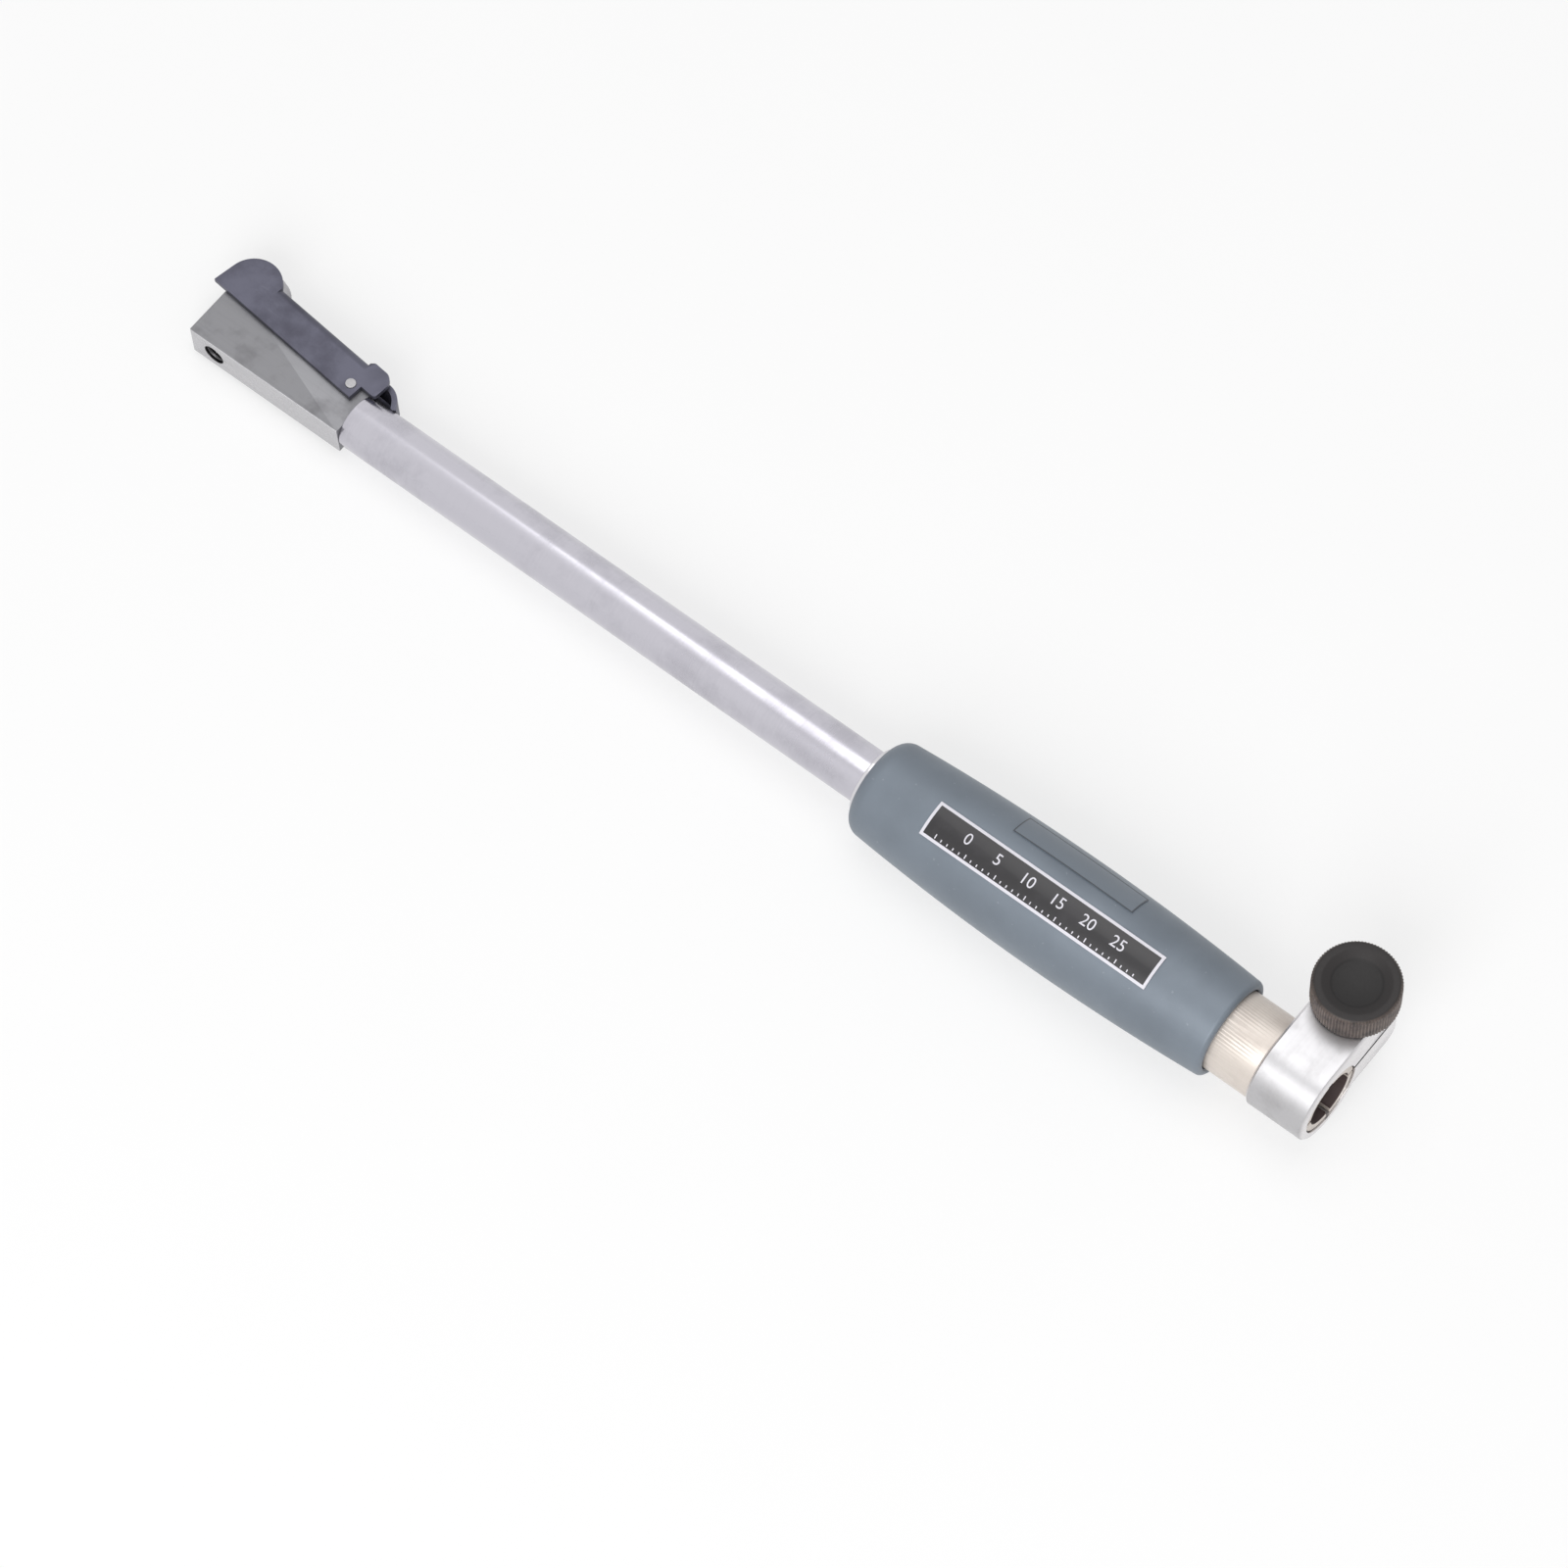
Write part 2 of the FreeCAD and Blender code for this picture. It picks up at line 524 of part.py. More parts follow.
def make_bell_crank():
    """Right-angle lever: hub, two equal arms and two round noses, cut from flat stock."""
    half = 0.5 * CRANK_THICK
    hub = cylinder(V(0, 0, -half), Z_AXIS, CRANK_HUB_R, CRANK_THICK)
    crank = hub
    for direction in (V(-1, 0, 0), V(0, -1, 0)):
        side = V(direction.y, -direction.x, 0) * (0.5 * CRANK_ARM_WIDTH)
        tip = direction * CRANK_ARM
        corners = [side, tip + side, tip - side, side * -1, side]
        nose = cylinder(tip - V(0, 0, half), Z_AXIS, CRANK_NOSE_R, CRANK_THICK)
        crank = crank.fuse(prism_z(chain(corners), half)).fuse(nose)
    crank = crank.removeSplitter()
    crank = crank.cut(cylinder(V(0, 0, -CRANK_THICK), Z_AXIS, CRANK_PIN_R + RUN_FIT, 2 * CRANK_THICK))
    crank.rotate(ORIGIN, Z_AXIS, -crank_half_turn)
    crank.translate(V(crank_x, crank_y, 0))
    return crank


# ---------------------------------------------------------------- push rod
def make_push_rod():
    """Straight rod with a round end against the crank."""
    edge = V(rod_head_x + ROD_R, ROD_R, 0)
    pole = V(rod_head_x, 0, 0)
    slant = ROD_R * math.sqrt(0.5)
    outline = [arc(pole, V(edge.x - slant, slant, 0), edge)]
    outline += chain([edge, V(rod_clamp_x, ROD_R, 0), V(rod_clamp_x, 0, 0), pole])
    return turned(outline)


def make_rod_cap():
    """Hard cap on the rod, where the indicator's contact touches."""
    cap_back_x = cap_end_x - CAP_LENGTH
    cap = cylinder(V(cap_back_x, 0, 0), X_AXIS, CAP_R, CAP_LENGTH)
    socket = cylinder(V(cap_back_x - CUT_OVER, 0, 0), X_AXIS, ROD_R + SEAT_FIT, CAP_SOCKET + CUT_OVER)
    return cap.cut(socket)


def make_rod_collar():
    return tube_x(collar_x, collar_x + COLLAR_LENGTH, COLLAR_R, ROD_R + SEAT_FIT)


def make_upper_guide_bush():
    return tube_x(upper_bush_x, upper_bush_x + BUSH_LENGTH, TUBE_BORE_R - SEAT_FIT, ROD_R + RUN_FIT)


def make_lower_guide_bush():
    return tube_x(spigot_end_x - BUSH_LENGTH, spigot_end_x, BUSH_LOWER_R, ROD_R + RUN_FIT)


def make_rod_spring():
    wire_r = 0.5 * ROD_SPRING_WIRE
    radius = 0.5 * (TUBE_BORE_R + ROD_R)
    spring = coil(radius, wire_r, ROD_SPRING_LENGTH - 2 * FACE_GAP, ROD_SPRING_TURNS)
    spring.rotate(ORIGIN, Y_AXIS, 90)
    spring.translate(V(collar_x + COLLAR_LENGTH + FACE_GAP, 0, 0))
    return spring


# ---------------------------------------------------------------- centring guard
def guard_ear_low():
    """Underside of the hinge ears, above the pin, so that they clear the tube at rest."""
    lean = math.radians(GUARD_REST)
    tube_side_y = math.sqrt(TUBE_R ** 2 - guard_inside ** 2)
    rise = tube_side_y + EAR_TUBE_GAP - GUARD_PIN_Y + EAR_END * math.sin(lean)
    return rise / math.cos(lean)


def guard_wall_outline():
    """Side of the guard, with the hinge pin at the origin and the open edge along X."""
    corner = V(-guard_nose, GUARD_NOSE_LIFT - GUARD_EDGE, 0)
    ear_low = guard_ear_low()
    ear_top = GUARD_WEB + EAR_RISE
    rise_start = V(EAR_RISE_AT - EAR_RISE, GUARD_WEB, 0)
    lobe = V(-lobe_ahead, LOBE_UP, 0)
    web_rise = GUARD_WEB - LOBE_UP
    lobe_back = lobe + V(math.sqrt(LOBE_R ** 2 - web_rise ** 2), web_rise, 0)
    to_corner = corner - lobe
    lean = math.atan2(to_corner.y, to_corner.x) - math.acos(LOBE_R / to_corner.Length)
    lobe_front = lobe + V(math.cos(lean), math.sin(lean), 0) * LOBE_R
    edges = rounded_chain([
        (corner, 0), (V(EAR_STEP, -GUARD_EDGE, 0), 0), (V(EAR_STEP, ear_low, 0), 0),
        (V(EAR_END, ear_low, 0), 0.3 * EAR_ROUND), (V(EAR_END, ear_top, 0), EAR_ROUND),
        (V(EAR_RISE_AT, ear_top, 0), EAR_RISE), (rise_start, 0), (lobe_back, 0)])
    edges += [arc(lobe_back, lobe + V(0, LOBE_R, 0), lobe_front), line(lobe_front, corner)]
    return edges, lobe_back.x, rise_start.x


def guard_channel(x_low, x_high, low_y):
    """Folded channel with rounded bends, open downwards, as two nested round-cornered blocks."""
    def block(half, top_y, radius, bottom_y, start, end):
        corners = [
            (V(start, bottom_y, -half), 0), (V(start, top_y, -half), radius), (V(start, top_y, half), radius),
            (V(start, bottom_y, half), 0)]
        edges = rounded_chain(corners) + [line(corners[-1][0], corners[0][0])]
        return face(edges).extrude(V(end - start, 0, 0))

    outer = block(guard_outside, GUARD_WEB, GUARD_BEND_R + SHEET, low_y, x_low, x_high)
    inner = block(
        guard_inside, GUARD_WEB - SHEET, GUARD_BEND_R, low_y - CUT_OVER, x_low - CUT_OVER, x_high + CUT_OVER)
    return outer, inner


def make_guard_tail():
    """Tongue of the web, curled down to the tube, where it stops the guard."""
    middle_y = GUARD_WEB - SHEET
    inner_c = V(TAIL_FLAT, middle_y - TAIL_BEND_R, 0)
    outer_r = TAIL_BEND_R + SHEET

    def on_bend(radius, angle):
        turn = math.radians(angle)
        return inner_c + V(radius * math.sin(turn), radius * math.cos(turn), 0)

    turn = math.radians(TAIL_BEND_ANGLE)
    down = V(math.cos(turn), -math.sin(turn), 0) * TAIL_TIP
    start_x = EAR_RISE_AT - EAR_RISE - SHEET
    inner = [on_bend(TAIL_BEND_R, a) for a in (0, 0.5 * TAIL_BEND_ANGLE, TAIL_BEND_ANGLE)]
    outer = [on_bend(outer_r, a) for a in (0, 0.5 * TAIL_BEND_ANGLE, TAIL_BEND_ANGLE)]
    edges = [line(V(start_x, middle_y, 0), inner[0]), arc(*inner)]
    edges += chain([inner[2], inner[2] + down, outer[2] + down, outer[2]])
    edges += [arc(*outer)] + chain([outer[0], V(start_x, GUARD_WEB, 0), V(start_x, middle_y, 0)])
    return prism_z(edges, 0.5 * TAIL_WIDTH)


def make_centring_guard():
    """One sheet folded to a U: two lobed walls, the web behind the contact, ears and stop tail."""
    edges, lobe_back_x, ear_x = guard_wall_outline()
    walls = prism_z(edges, guard_outside)
    low_y = -GUARD_EDGE - CUT_OVER
    high_y = LOBE_UP + LOBE_R + GUARD_WEB
    nose_x = -guard_nose - CUT_OVER
    outer, inner = guard_channel(nose_x, EAR_END + CUT_OVER, low_y)

    # Only the stretch between the lobes and the ears is folded: there the corners are rounded.
    span = box(V(lobe_back_x, 0, -guard_outside - CUT_OVER), V(ear_x, high_y, guard_outside + CUT_OVER))
    walls = walls.cut(span.cut(outer)).cut(inner)
    above_web = box(V(nose_x, GUARD_WEB, -guard_inside), V(EAR_END + CUT_OVER, high_y, guard_inside))
    behind_web = box(V(ear_x, 0, -guard_inside), V(EAR_END + CUT_OVER, high_y, guard_inside))
    swing = 0.5 * GUARD_WEB * math.sin(math.radians(GUARD_REST))
    contact_ahead = guard_contact + swing
    notch_r = BUTTON_R + CONTACT_NOTCH_GAP
    notch = cylinder(V(-contact_ahead, 0, 0), Y_AXIS, notch_r, high_y)
    notch = notch.common(box(V(nose_x, 0, -guard_inside), V(0, high_y, guard_inside)))
    front = box(V(nose_x, 0, -guard_inside), V(-contact_ahead, high_y, guard_inside))
    guard = walls.cut(above_web).cut(behind_web).cut(notch).cut(front)

    guard = guard.fuse(make_guard_tail()).removeSplitter()
    hinge = cylinder(V(0, 0, -guard_outside - CUT_OVER), Z_AXIS, GUARD_PIN_R + RUN_FIT, 2 * (guard_outside + CUT_OVER))
    guard = guard.cut(hinge)
    guard.rotate(ORIGIN, Z_AXIS, -GUARD_REST)
    guard.translate(guard_pin)
    tube_room = cylinder(V(tube_head_x, 0, 0), X_AXIS, TUBE_R + TAIL_TUBE_GAP, TUBE_LENGTH)
    return guard.cut(tube_room)


def make_guard_pin():
    half = guard_outside + GUARD_PIN_PROUD
    return cylinder(guard_pin - V(0, 0, half), Z_AXIS, GUARD_PIN_R, 2 * half)


def make_guard_spring():
    """Small coil in the head's pocket, pressing on the web at rest."""
    lean = math.radians(GUARD_REST)
    web_y = GUARD_PIN_Y + (GUARD_WEB - SHEET) / math.cos(lean) + GUARD_SPRING_AHEAD * math.tan(lean)
    wire_r = 0.5 * GUARD_SPRING_WIRE
    tilt_room = (GUARD_SPRING_R + wire_r) * math.tan(lean)
    length = web_y - tilt_room - guard_spring_floor_y - 2 * FACE_GAP
    spring = coil(GUARD_SPRING_R, wire_r, length, GUARD_SPRING_TURNS)
    spring.rotate(ORIGIN, X_AXIS, -90)
    spring.translate(V(guard_spring_x, guard_spring_floor_y + FACE_GAP, 0))
    return spring


# ---------------------------------------------------------------- all nodes
NODES = {
    "stem_tube": make_stem_tube,
    "neck_sleeve": make_neck_sleeve,
    "grip": make_grip,
    "grip_ring": make_grip_ring,
    "range_label": lambda: make_label(RANGE_LABEL_LENGTH, RANGE_LABEL_WIDTH, RANGE_LABEL_AT, RANGE_LABEL_ANGLE),
    "plain_label": lambda: make_label(PLAIN_LABEL_LENGTH, PLAIN_LABEL_WIDTH, PLAIN_LABEL_AT, PLAIN_LABEL_ANGLE),
    "clamp_block": make_clamp_block,
    "clamp_screw": make_clamp_screw,
    "thumb_knob": make_thumb_knob,
    "head_body": make_head_body,
    "crank_pin": make_crank_pin,
    "plunger": make_plunger,
    "contact_tip": make_contact_tip,
    "bell_crank": make_bell_crank,
    "push_rod": make_push_rod,
    "rod_cap": make_rod_cap,
    "rod_collar": make_rod_collar,
    "upper_guide_bush": make_upper_guide_bush,
    "lower_guide_bush": make_lower_guide_bush,
    "rod_spring": make_rod_spring,
    "centring_guard": make_centring_guard,
    "guard_pin": make_guard_pin,
    "guard_spring": make_guard_spring,
}


def main():
    os.makedirs("parts", exist_ok=True)
    for name, make in NODES.items():
        shape = make()
        solids = shape.Solids
        if len(solids) == 1:
            shape = solids[0]
        if shape.Volume < 0:
            shape.reverse()
        shape.exportStep(os.path.join("parts", name + ".step"))
        print("%-18s solids %d  valid %s  volume %9.3f" % (name, len(solids), shape.isValid(), shape.Volume))


main()
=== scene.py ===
"""Looks of the dial bore gauge body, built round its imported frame.

Lengths are metres in the row frame: +X along the stem out of the indicator bore, +Y the measuring
direction, +Z the axis of the thumb knob. MM turns the millimetres of a drawing into metres.
"""

from __future__ import annotations

import logging
import math
from dataclasses import dataclass, field
from enum import Enum

import bmesh
import bpy
import numpy as np
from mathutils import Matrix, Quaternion, Vector

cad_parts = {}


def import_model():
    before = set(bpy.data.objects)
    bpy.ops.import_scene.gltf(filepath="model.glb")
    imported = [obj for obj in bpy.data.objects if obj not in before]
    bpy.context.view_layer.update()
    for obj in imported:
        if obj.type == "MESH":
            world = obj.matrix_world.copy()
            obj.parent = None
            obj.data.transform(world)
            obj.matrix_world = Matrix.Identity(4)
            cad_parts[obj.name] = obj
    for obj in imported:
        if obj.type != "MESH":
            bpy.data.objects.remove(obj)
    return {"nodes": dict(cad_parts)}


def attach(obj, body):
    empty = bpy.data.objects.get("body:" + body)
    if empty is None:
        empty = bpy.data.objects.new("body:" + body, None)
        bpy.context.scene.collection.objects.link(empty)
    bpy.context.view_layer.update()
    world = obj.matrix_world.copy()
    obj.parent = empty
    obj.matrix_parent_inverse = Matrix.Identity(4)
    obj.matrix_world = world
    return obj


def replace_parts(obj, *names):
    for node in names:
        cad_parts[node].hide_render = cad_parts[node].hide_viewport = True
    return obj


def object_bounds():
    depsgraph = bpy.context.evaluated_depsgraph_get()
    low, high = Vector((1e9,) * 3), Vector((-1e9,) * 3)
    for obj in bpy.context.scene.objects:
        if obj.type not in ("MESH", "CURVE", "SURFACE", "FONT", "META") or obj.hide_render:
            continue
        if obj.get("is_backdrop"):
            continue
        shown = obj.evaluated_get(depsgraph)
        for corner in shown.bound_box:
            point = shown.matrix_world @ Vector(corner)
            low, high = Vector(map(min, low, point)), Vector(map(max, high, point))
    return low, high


LOG = logging.getLogger("bore_gauge")
MM = 0.001
Colour = tuple[float, float, float, float]
Array = np.ndarray
WHITE: Colour = (1.0, 1.0, 1.0, 1.0)
SAME_PLACE = 2e-6        # points closer than this are merged
STEM_STEPS = 144         # steps round a piece turned about the stem
CRISP_ANGLE = 28.0       # degrees between faces that meet at a crisp edge of a dressed copy
BROKEN_STEPS = 2         # segments across a broken edge


def srgb(red: float, green: float, blue: float) -> Colour:
    """Turn a screen colour into the linear colour that a shader socket takes.

    Each channel c of 0 to 255 becomes ((c / 255 + 0.055) / 1.055) to the power 2.4.

    Args:
        red: red of 0 to 255.
        green: green of 0 to 255.
        blue: blue of 0 to 255.

    Returns:
        The linear colour with an alpha of 1.
    """
    linear = ((np.array([red, green, blue]) / 255 + 0.055) / 1.055) ** 2.4
    return (float(linear[0]), float(linear[1]), float(linear[2]), 1.0)


# ---------------------------------------------------------------- shader maths
class Reading:
    """A number on a shader socket. Sums on it add Math nodes to its graph."""

    def __init__(self, graph: "Graph", socket: bpy.types.NodeSocket) -> None:
        """Keep the graph and the socket."""
        self.graph = graph
        self.socket = socket

    def _math(self, operation: str, *operands: "Reading | float", clamp: bool = False) -> "Reading":
        """Add one Math node.

        Args:
            operation: the node's operation.
            operands: its inputs, in order.
            clamp: whether the result is held between 0 and 1.

        Returns:
            The node's result.
        """
        settings = {"operation": operation, "use_clamp": clamp}
        return self.graph.node("ShaderNodeMath", settings, dict(enumerate(operands)))

    def __add__(self, other: "Reading | float") -> "Reading":
        """This plus other."""
        return self._math("ADD", self, other)

    def __radd__(self, other: float) -> "Reading":
        """Other plus this."""
        return self._math("ADD", other, self)

    def __sub__(self, other: "Reading | float") -> "Reading":
        """This less other."""
        return self._math("SUBTRACT", self, other)

    def __rsub__(self, other: float) -> "Reading":
        """Other less this."""
        return self._math("SUBTRACT", other, self)

    def __mul__(self, other: "Reading | float") -> "Reading":
        """This times other."""
        return self._math("MULTIPLY", self, other)

    def __rmul__(self, other: float) -> "Reading":
        """Other times this."""
        return self._math("MULTIPLY", other, self)

    def __pow__(self, power: float) -> "Reading":
        """This to a power."""
        return self._math("POWER", self, power)

    def __abs__(self) -> "Reading":
        """This without its sign."""
        return self._math("ABSOLUTE", self)

    def most(self, other: "Reading | float") -> "Reading":
        """The larger of the two."""
        return self._math("MAXIMUM", self, other)

    def wave(self) -> "Reading":
        """The sine of this."""
        return self._math("SINE", self)

    def held(self) -> "Reading":
        """This, held between 0 and 1."""
        return self._math("ADD", self, 0.0, clamp=True)

    def ramp(self, low: float, high: float) -> "Reading":
        """Ease from 0 at low to 1 at high, or down where low is the larger.

        Args:
            low: the reading that gives 0.
            high: the reading that gives 1.

        Returns:
            The eased share.
        """
        settings = {"interpolation_type": "SMOOTHSTEP", "clamp": True}
        start, end = (0.0, 1.0) if low <= high else (1.0, 0.0)
        inputs = {0: self, 1: min(low, high), 2: max(low, high), 3: start, 4: end}
        return self.graph.node("ShaderNodeMapRange", settings, inputs)

    def near(self, place: float, reach: float) -> "Reading":
        """1 where this is at the place, easing to 0 one reach away."""
        return abs(self - place).ramp(reach, 0.0)


class Graph:
    """One node tree."""

    def __init__(self, tree: bpy.types.NodeTree) -> None:
        """Take over a tree and empty it."""
        self.tree = tree
        tree.nodes.clear()

    def node(
        self, kind: str, settings: dict[str, object], inputs: dict[int | str, object], output: int | str = 0
    ) -> Reading:
        """Add any node: its settings first, then the values or links of its sockets.

        Args:
            kind: the node's type.
            settings: its properties by name.
            inputs: a number, colour or Reading for each socket, by name or place.
            output: the socket that is read.

        Returns:
            The reading of that socket.
        """
        made = self.tree.nodes.new(kind)
        for key, value in settings.items():
            setattr(made, key, value)
        for key, value in inputs.items():
            if isinstance(value, Reading):
                self.tree.links.new(value.socket, made.inputs[key])
            else:
                made.inputs[key].default_value = value
        return Reading(self, made.outputs[output])

    def place(self) -> tuple[Reading, Reading, Reading, Reading]:
        """Read where a point is in the row frame.

        Returns:
            The position, and its X, Y and Z in metres.
        """
        position = self.node("ShaderNodeTexCoord", {}, {}, "Object")
        split = self.node("ShaderNodeSeparateXYZ", {}, {0: position}).socket.node
        return (position, *(Reading(self, split.outputs[i]) for i in range(3)))

    def stretched(self, scale: tuple[float, float, float]) -> Reading:
        """The position, scaled on each axis, for a pattern that runs one way."""
        position = self.node("ShaderNodeTexCoord", {}, {}, "Object")
        return self.node("ShaderNodeMapping", {"vector_type": "POINT"}, {0: position, 3: scale})

    def cloud(
        self, scale: float, detail: float = 3.0, grain: float = 0.5, along: Reading | None = None
    ) -> Reading:
        """Soft noise of 0 to 1.

        Args:
            scale: how many blotches lie in one unit of the vector.
            detail: layers of finer noise.
            grain: strength of the finer layers.
            along: the vector, or none for the position.

        Returns:
            The noise.
        """
        vector = along if along is not None else self.place()[0]
        inputs = {"Vector": vector, "Scale": scale, "Detail": detail, "Roughness": grain}
        return self.node("ShaderNodeTexNoise", {"noise_dimensions": "3D"}, inputs, 0)

    def blend(self, share: Reading | float, first: object, second: object) -> Reading:
        """Mix two colours: the first where share is 0 and the second where it is 1."""
        return self.node("ShaderNodeMix", {"data_type": "RGBA"}, {0: share, 6: first, 7: second}, 2)

    def relief(self, height: Reading, depth: float) -> Reading:
        """Bend the normal as if the surface rose by height times depth metres."""
        inputs = {"Height": height, "Distance": depth, "Strength": 1.0}
        return self.node("ShaderNodeBump", {}, inputs, "Normal")

    def plain_rays(self) -> Reading:
        """Tell apart the rays that see a plain white: 1 from the camera, a gloss or a clear body.

        Returns:
            1 for those rays and 0 for the rest.
        """
        camera = self.node("ShaderNodeLightPath", {}, {}, "Is Camera Ray")
        outputs = camera.socket.node.outputs
        glossy, clear = (Reading(self, outputs[kind]) for kind in ("Is Glossy Ray", "Is Transmission Ray"))
        return camera.most(glossy).most(clear)


class Surface(Graph):
    """The node tree of one material, round its Principled shader."""

    def __init__(self, name: str) -> None:
        """Start a material that holds only an output and the shader.

        Args:
            name: the material's name.
        """
        self.material = bpy.data.materials.new(name)
        self.material.use_nodes = True
        super().__init__(self.material.node_tree)
        self.shader = self.tree.nodes.new("ShaderNodeBsdfPrincipled")
        self.output = self.tree.nodes.new("ShaderNodeOutputMaterial")
        self.tree.links.new(self.shader.outputs[0], self.output.inputs["Surface"])

    def set(self, **sockets: object) -> bpy.types.Material:
        """Give the shader its numbers, colours and links.

        Args:
            sockets: value by socket name, with _ for a space.

        Returns:
            The finished material.
        """
        for key, value in sockets.items():
            target = self.shader.inputs[key.replace("_", " ")]
            if isinstance(value, Reading):
                self.tree.links.new(value.socket, target)
            else:
                target.default_value = value
        return self.material


# ---------------------------------------------------------------- finishes
class Lay(Enum):
    """Which way the tool marks of a metal run."""

    ALONG = (40.0, 2600.0, 2600.0)
    ROUND = (5200.0, 120.0, 120.0)
    ACROSS = (2600.0, 40.0, 2600.0)
    UP = (2600.0, 2600.0, 60.0)
    FINE = (2600.0, 2600.0, 2600.0)


@dataclass(frozen=True)
class WorkedMetal:
    """Metal with tool marks, soft stains and a rubbed lustre."""

    name: str
    colour: Colour
    dull: Colour
    rough: float = 0.34
    lay: Lay = Lay.FINE
    marks: float = 0.5
    stain: float = 0.35
    metallic: float = 1.0

    def material(self) -> bpy.types.Material:
        """Build it: long noise for the marks, slow noise for stains, both in colour, gloss and relief.

        Returns:
            The finished material.
        """
        graph = Surface(self.name)
        marks = graph.cloud(1.0, 4.0, 0.62, graph.stretched(self.lay.value))
        stain = graph.cloud(190.0, 4.0, 0.6).ramp(0.42, 0.72)
        share = (stain * self.stain + (marks - 0.5) * self.marks * 0.55).held()
        rough = self.rough + (marks - 0.5) * (0.16 * self.marks) + stain * 0.09
        return graph.set(
            Base_Color=graph.blend(share, self.colour, self.dull), Metallic=self.metallic, Roughness=rough,
            Normal=graph.relief(marks, 0.012 * MM * self.marks))


@dataclass(frozen=True)
class HeadSteel:
    """Ground head: marks along the bar, rubbed edges, a painted highlight over its -Y face, and a thread in
    the anvil hole, painted dark as shade.
    """

    name: str = "head_steel"
    colour: Colour = srgb(128, 128, 131)
    dull: Colour = srgb(98, 97, 100)
    # Pale colour of the rubbed edges, also used as a painted highlight over the whole -Y face.
    edge: Colour = srgb(196, 195, 198)
    half_thick: float = 2.75 * MM
    low_y: float = -4.1 * MM
    front_x: float = -194.4 * MM
    hole_x: float = -190.1 * MM
    hole_r: float = 1.65 * MM
    edge_width: float = 0.16 * MM
    thread_pitch: float = 0.7 * MM

    def material(self) -> bpy.types.Material:
        """Build it: the thread is a sine along the hole, kept inside the hole's radius, and the hole is
        painted dark as shade, darkest in the thread's grooves.

        Returns:
            The finished material.
        """
        graph = Surface(self.name)
        _, x, y, z = graph.place()
        marks = graph.cloud(1.0, 4.0, 0.6, graph.stretched(Lay.ALONG.value))
        stain = graph.cloud(240.0, 4.0, 0.6).ramp(0.45, 0.75)
        side = abs(z).near(self.half_thick, self.edge_width)
        # Painted highlight: 1 over the whole -Y face, which takes the pale edge colour and less roughness.
        lit_face_highlight = y.ramp(self.low_y + 0.12 * MM, self.low_y + 0.02 * MM)
        low = y.near(self.low_y, self.edge_width)
        front = x.near(self.front_x, 0.3 * MM)
        rubbed = (side * low + side * front + low * front).held() * graph.cloud(900.0, 2.0).ramp(0.3, 0.6)
        reach = ((x - self.hole_x) ** 2.0 + z ** 2.0) ** 0.5
        inside = reach.ramp(self.hole_r * 1.06, self.hole_r * 1.0) * y.ramp(0.0, self.low_y * 0.5)
        groove = (y * (2 * math.pi / self.thread_pitch)).wave() * 0.5 + 0.5
        body = graph.blend((stain * 0.5 + (marks - 0.5) * 0.3).held(), self.colour, self.dull)
        # Rubbed edges and the painted highlight of the -Y face, blended into the body.
        worn = graph.blend((rubbed * 0.8).most(lit_face_highlight * 0.85), body, self.edge)
        # Painted shade: the anvil hole is darkened, more so in the thread's grooves.
        colour = graph.blend(inside * (0.45 + groove * 0.4), worn, srgb(52, 50, 52))
        height = marks * 0.05 + groove * inside
        rough = 0.4 + (marks - 0.5) * 0.12 + stain * 0.08 - rubbed * 0.12 - lit_face_highlight * 0.14
        return graph.set(
            Base_Color=colour, Metallic=0.92, Roughness=rough,
            Normal=graph.relief(height, 0.2 * MM))


@dataclass(frozen=True)
class PlatedSheet:
    """Blue-grey plated sheet: cloudy plating, faint rolling marks, and handling rubs."""

    name: str = "guard_sheet"
    colour: Colour = srgb(96, 96, 109)
    dull: Colour = srgb(70, 69, 80)
    rub: Colour = srgb(150, 150, 160)

    def material(self) -> bpy.types.Material:
        """Build it from a slow cloud, a fine grain and a few long rubs.

        Returns:
            The finished material.
        """
        graph = Surface(self.name)
        cloud = graph.cloud(150.0, 5.0, 0.6).ramp(0.36, 0.7)
        grain = graph.cloud(2200.0, 3.0, 0.6)
        rubs = graph.cloud(1.0, 3.0, 0.5, graph.stretched((120.0, 1500.0, 1500.0))).ramp(0.66, 0.8)
        base = graph.blend(cloud * 0.75, self.colour, self.dull)
        return graph.set(
            Base_Color=graph.blend(rubs * 0.22, base, self.rub), Metallic=0.8,
            Roughness=0.4 + (grain - 0.5) * 0.12 + cloud * 0.08,
            Normal=graph.relief(grain, 0.006 * MM))


@dataclass(frozen=True)
class StemChrome:
    """Hard chrome on a drawn tube: nearly bright, with faint rings and finger marks."""

    name: str = "tube_chrome"
    colour: Colour = srgb(196, 194, 202)
    dull: Colour = srgb(168, 166, 174)

    def material(self) -> bpy.types.Material:
        """Build it: rings are noise squeezed along the stem, finger marks are slow noise in the gloss.

        Returns:
            The finished material.
        """
        graph = Surface(self.name)
        rings = graph.cloud(1.0, 3.0, 0.6, graph.stretched((3600.0, 60.0, 60.0)))
        fingers = graph.cloud(110.0, 4.0, 0.6).ramp(0.45, 0.7)
        return graph.set(
            Base_Color=graph.blend((fingers * 0.5 + (rings - 0.5) * 0.35).held(), self.colour, self.dull),
            Metallic=1.0, Roughness=0.2 + fingers * 0.09 + (rings - 0.5) * 0.08,
            Normal=graph.relief(rings, 0.004 * MM))


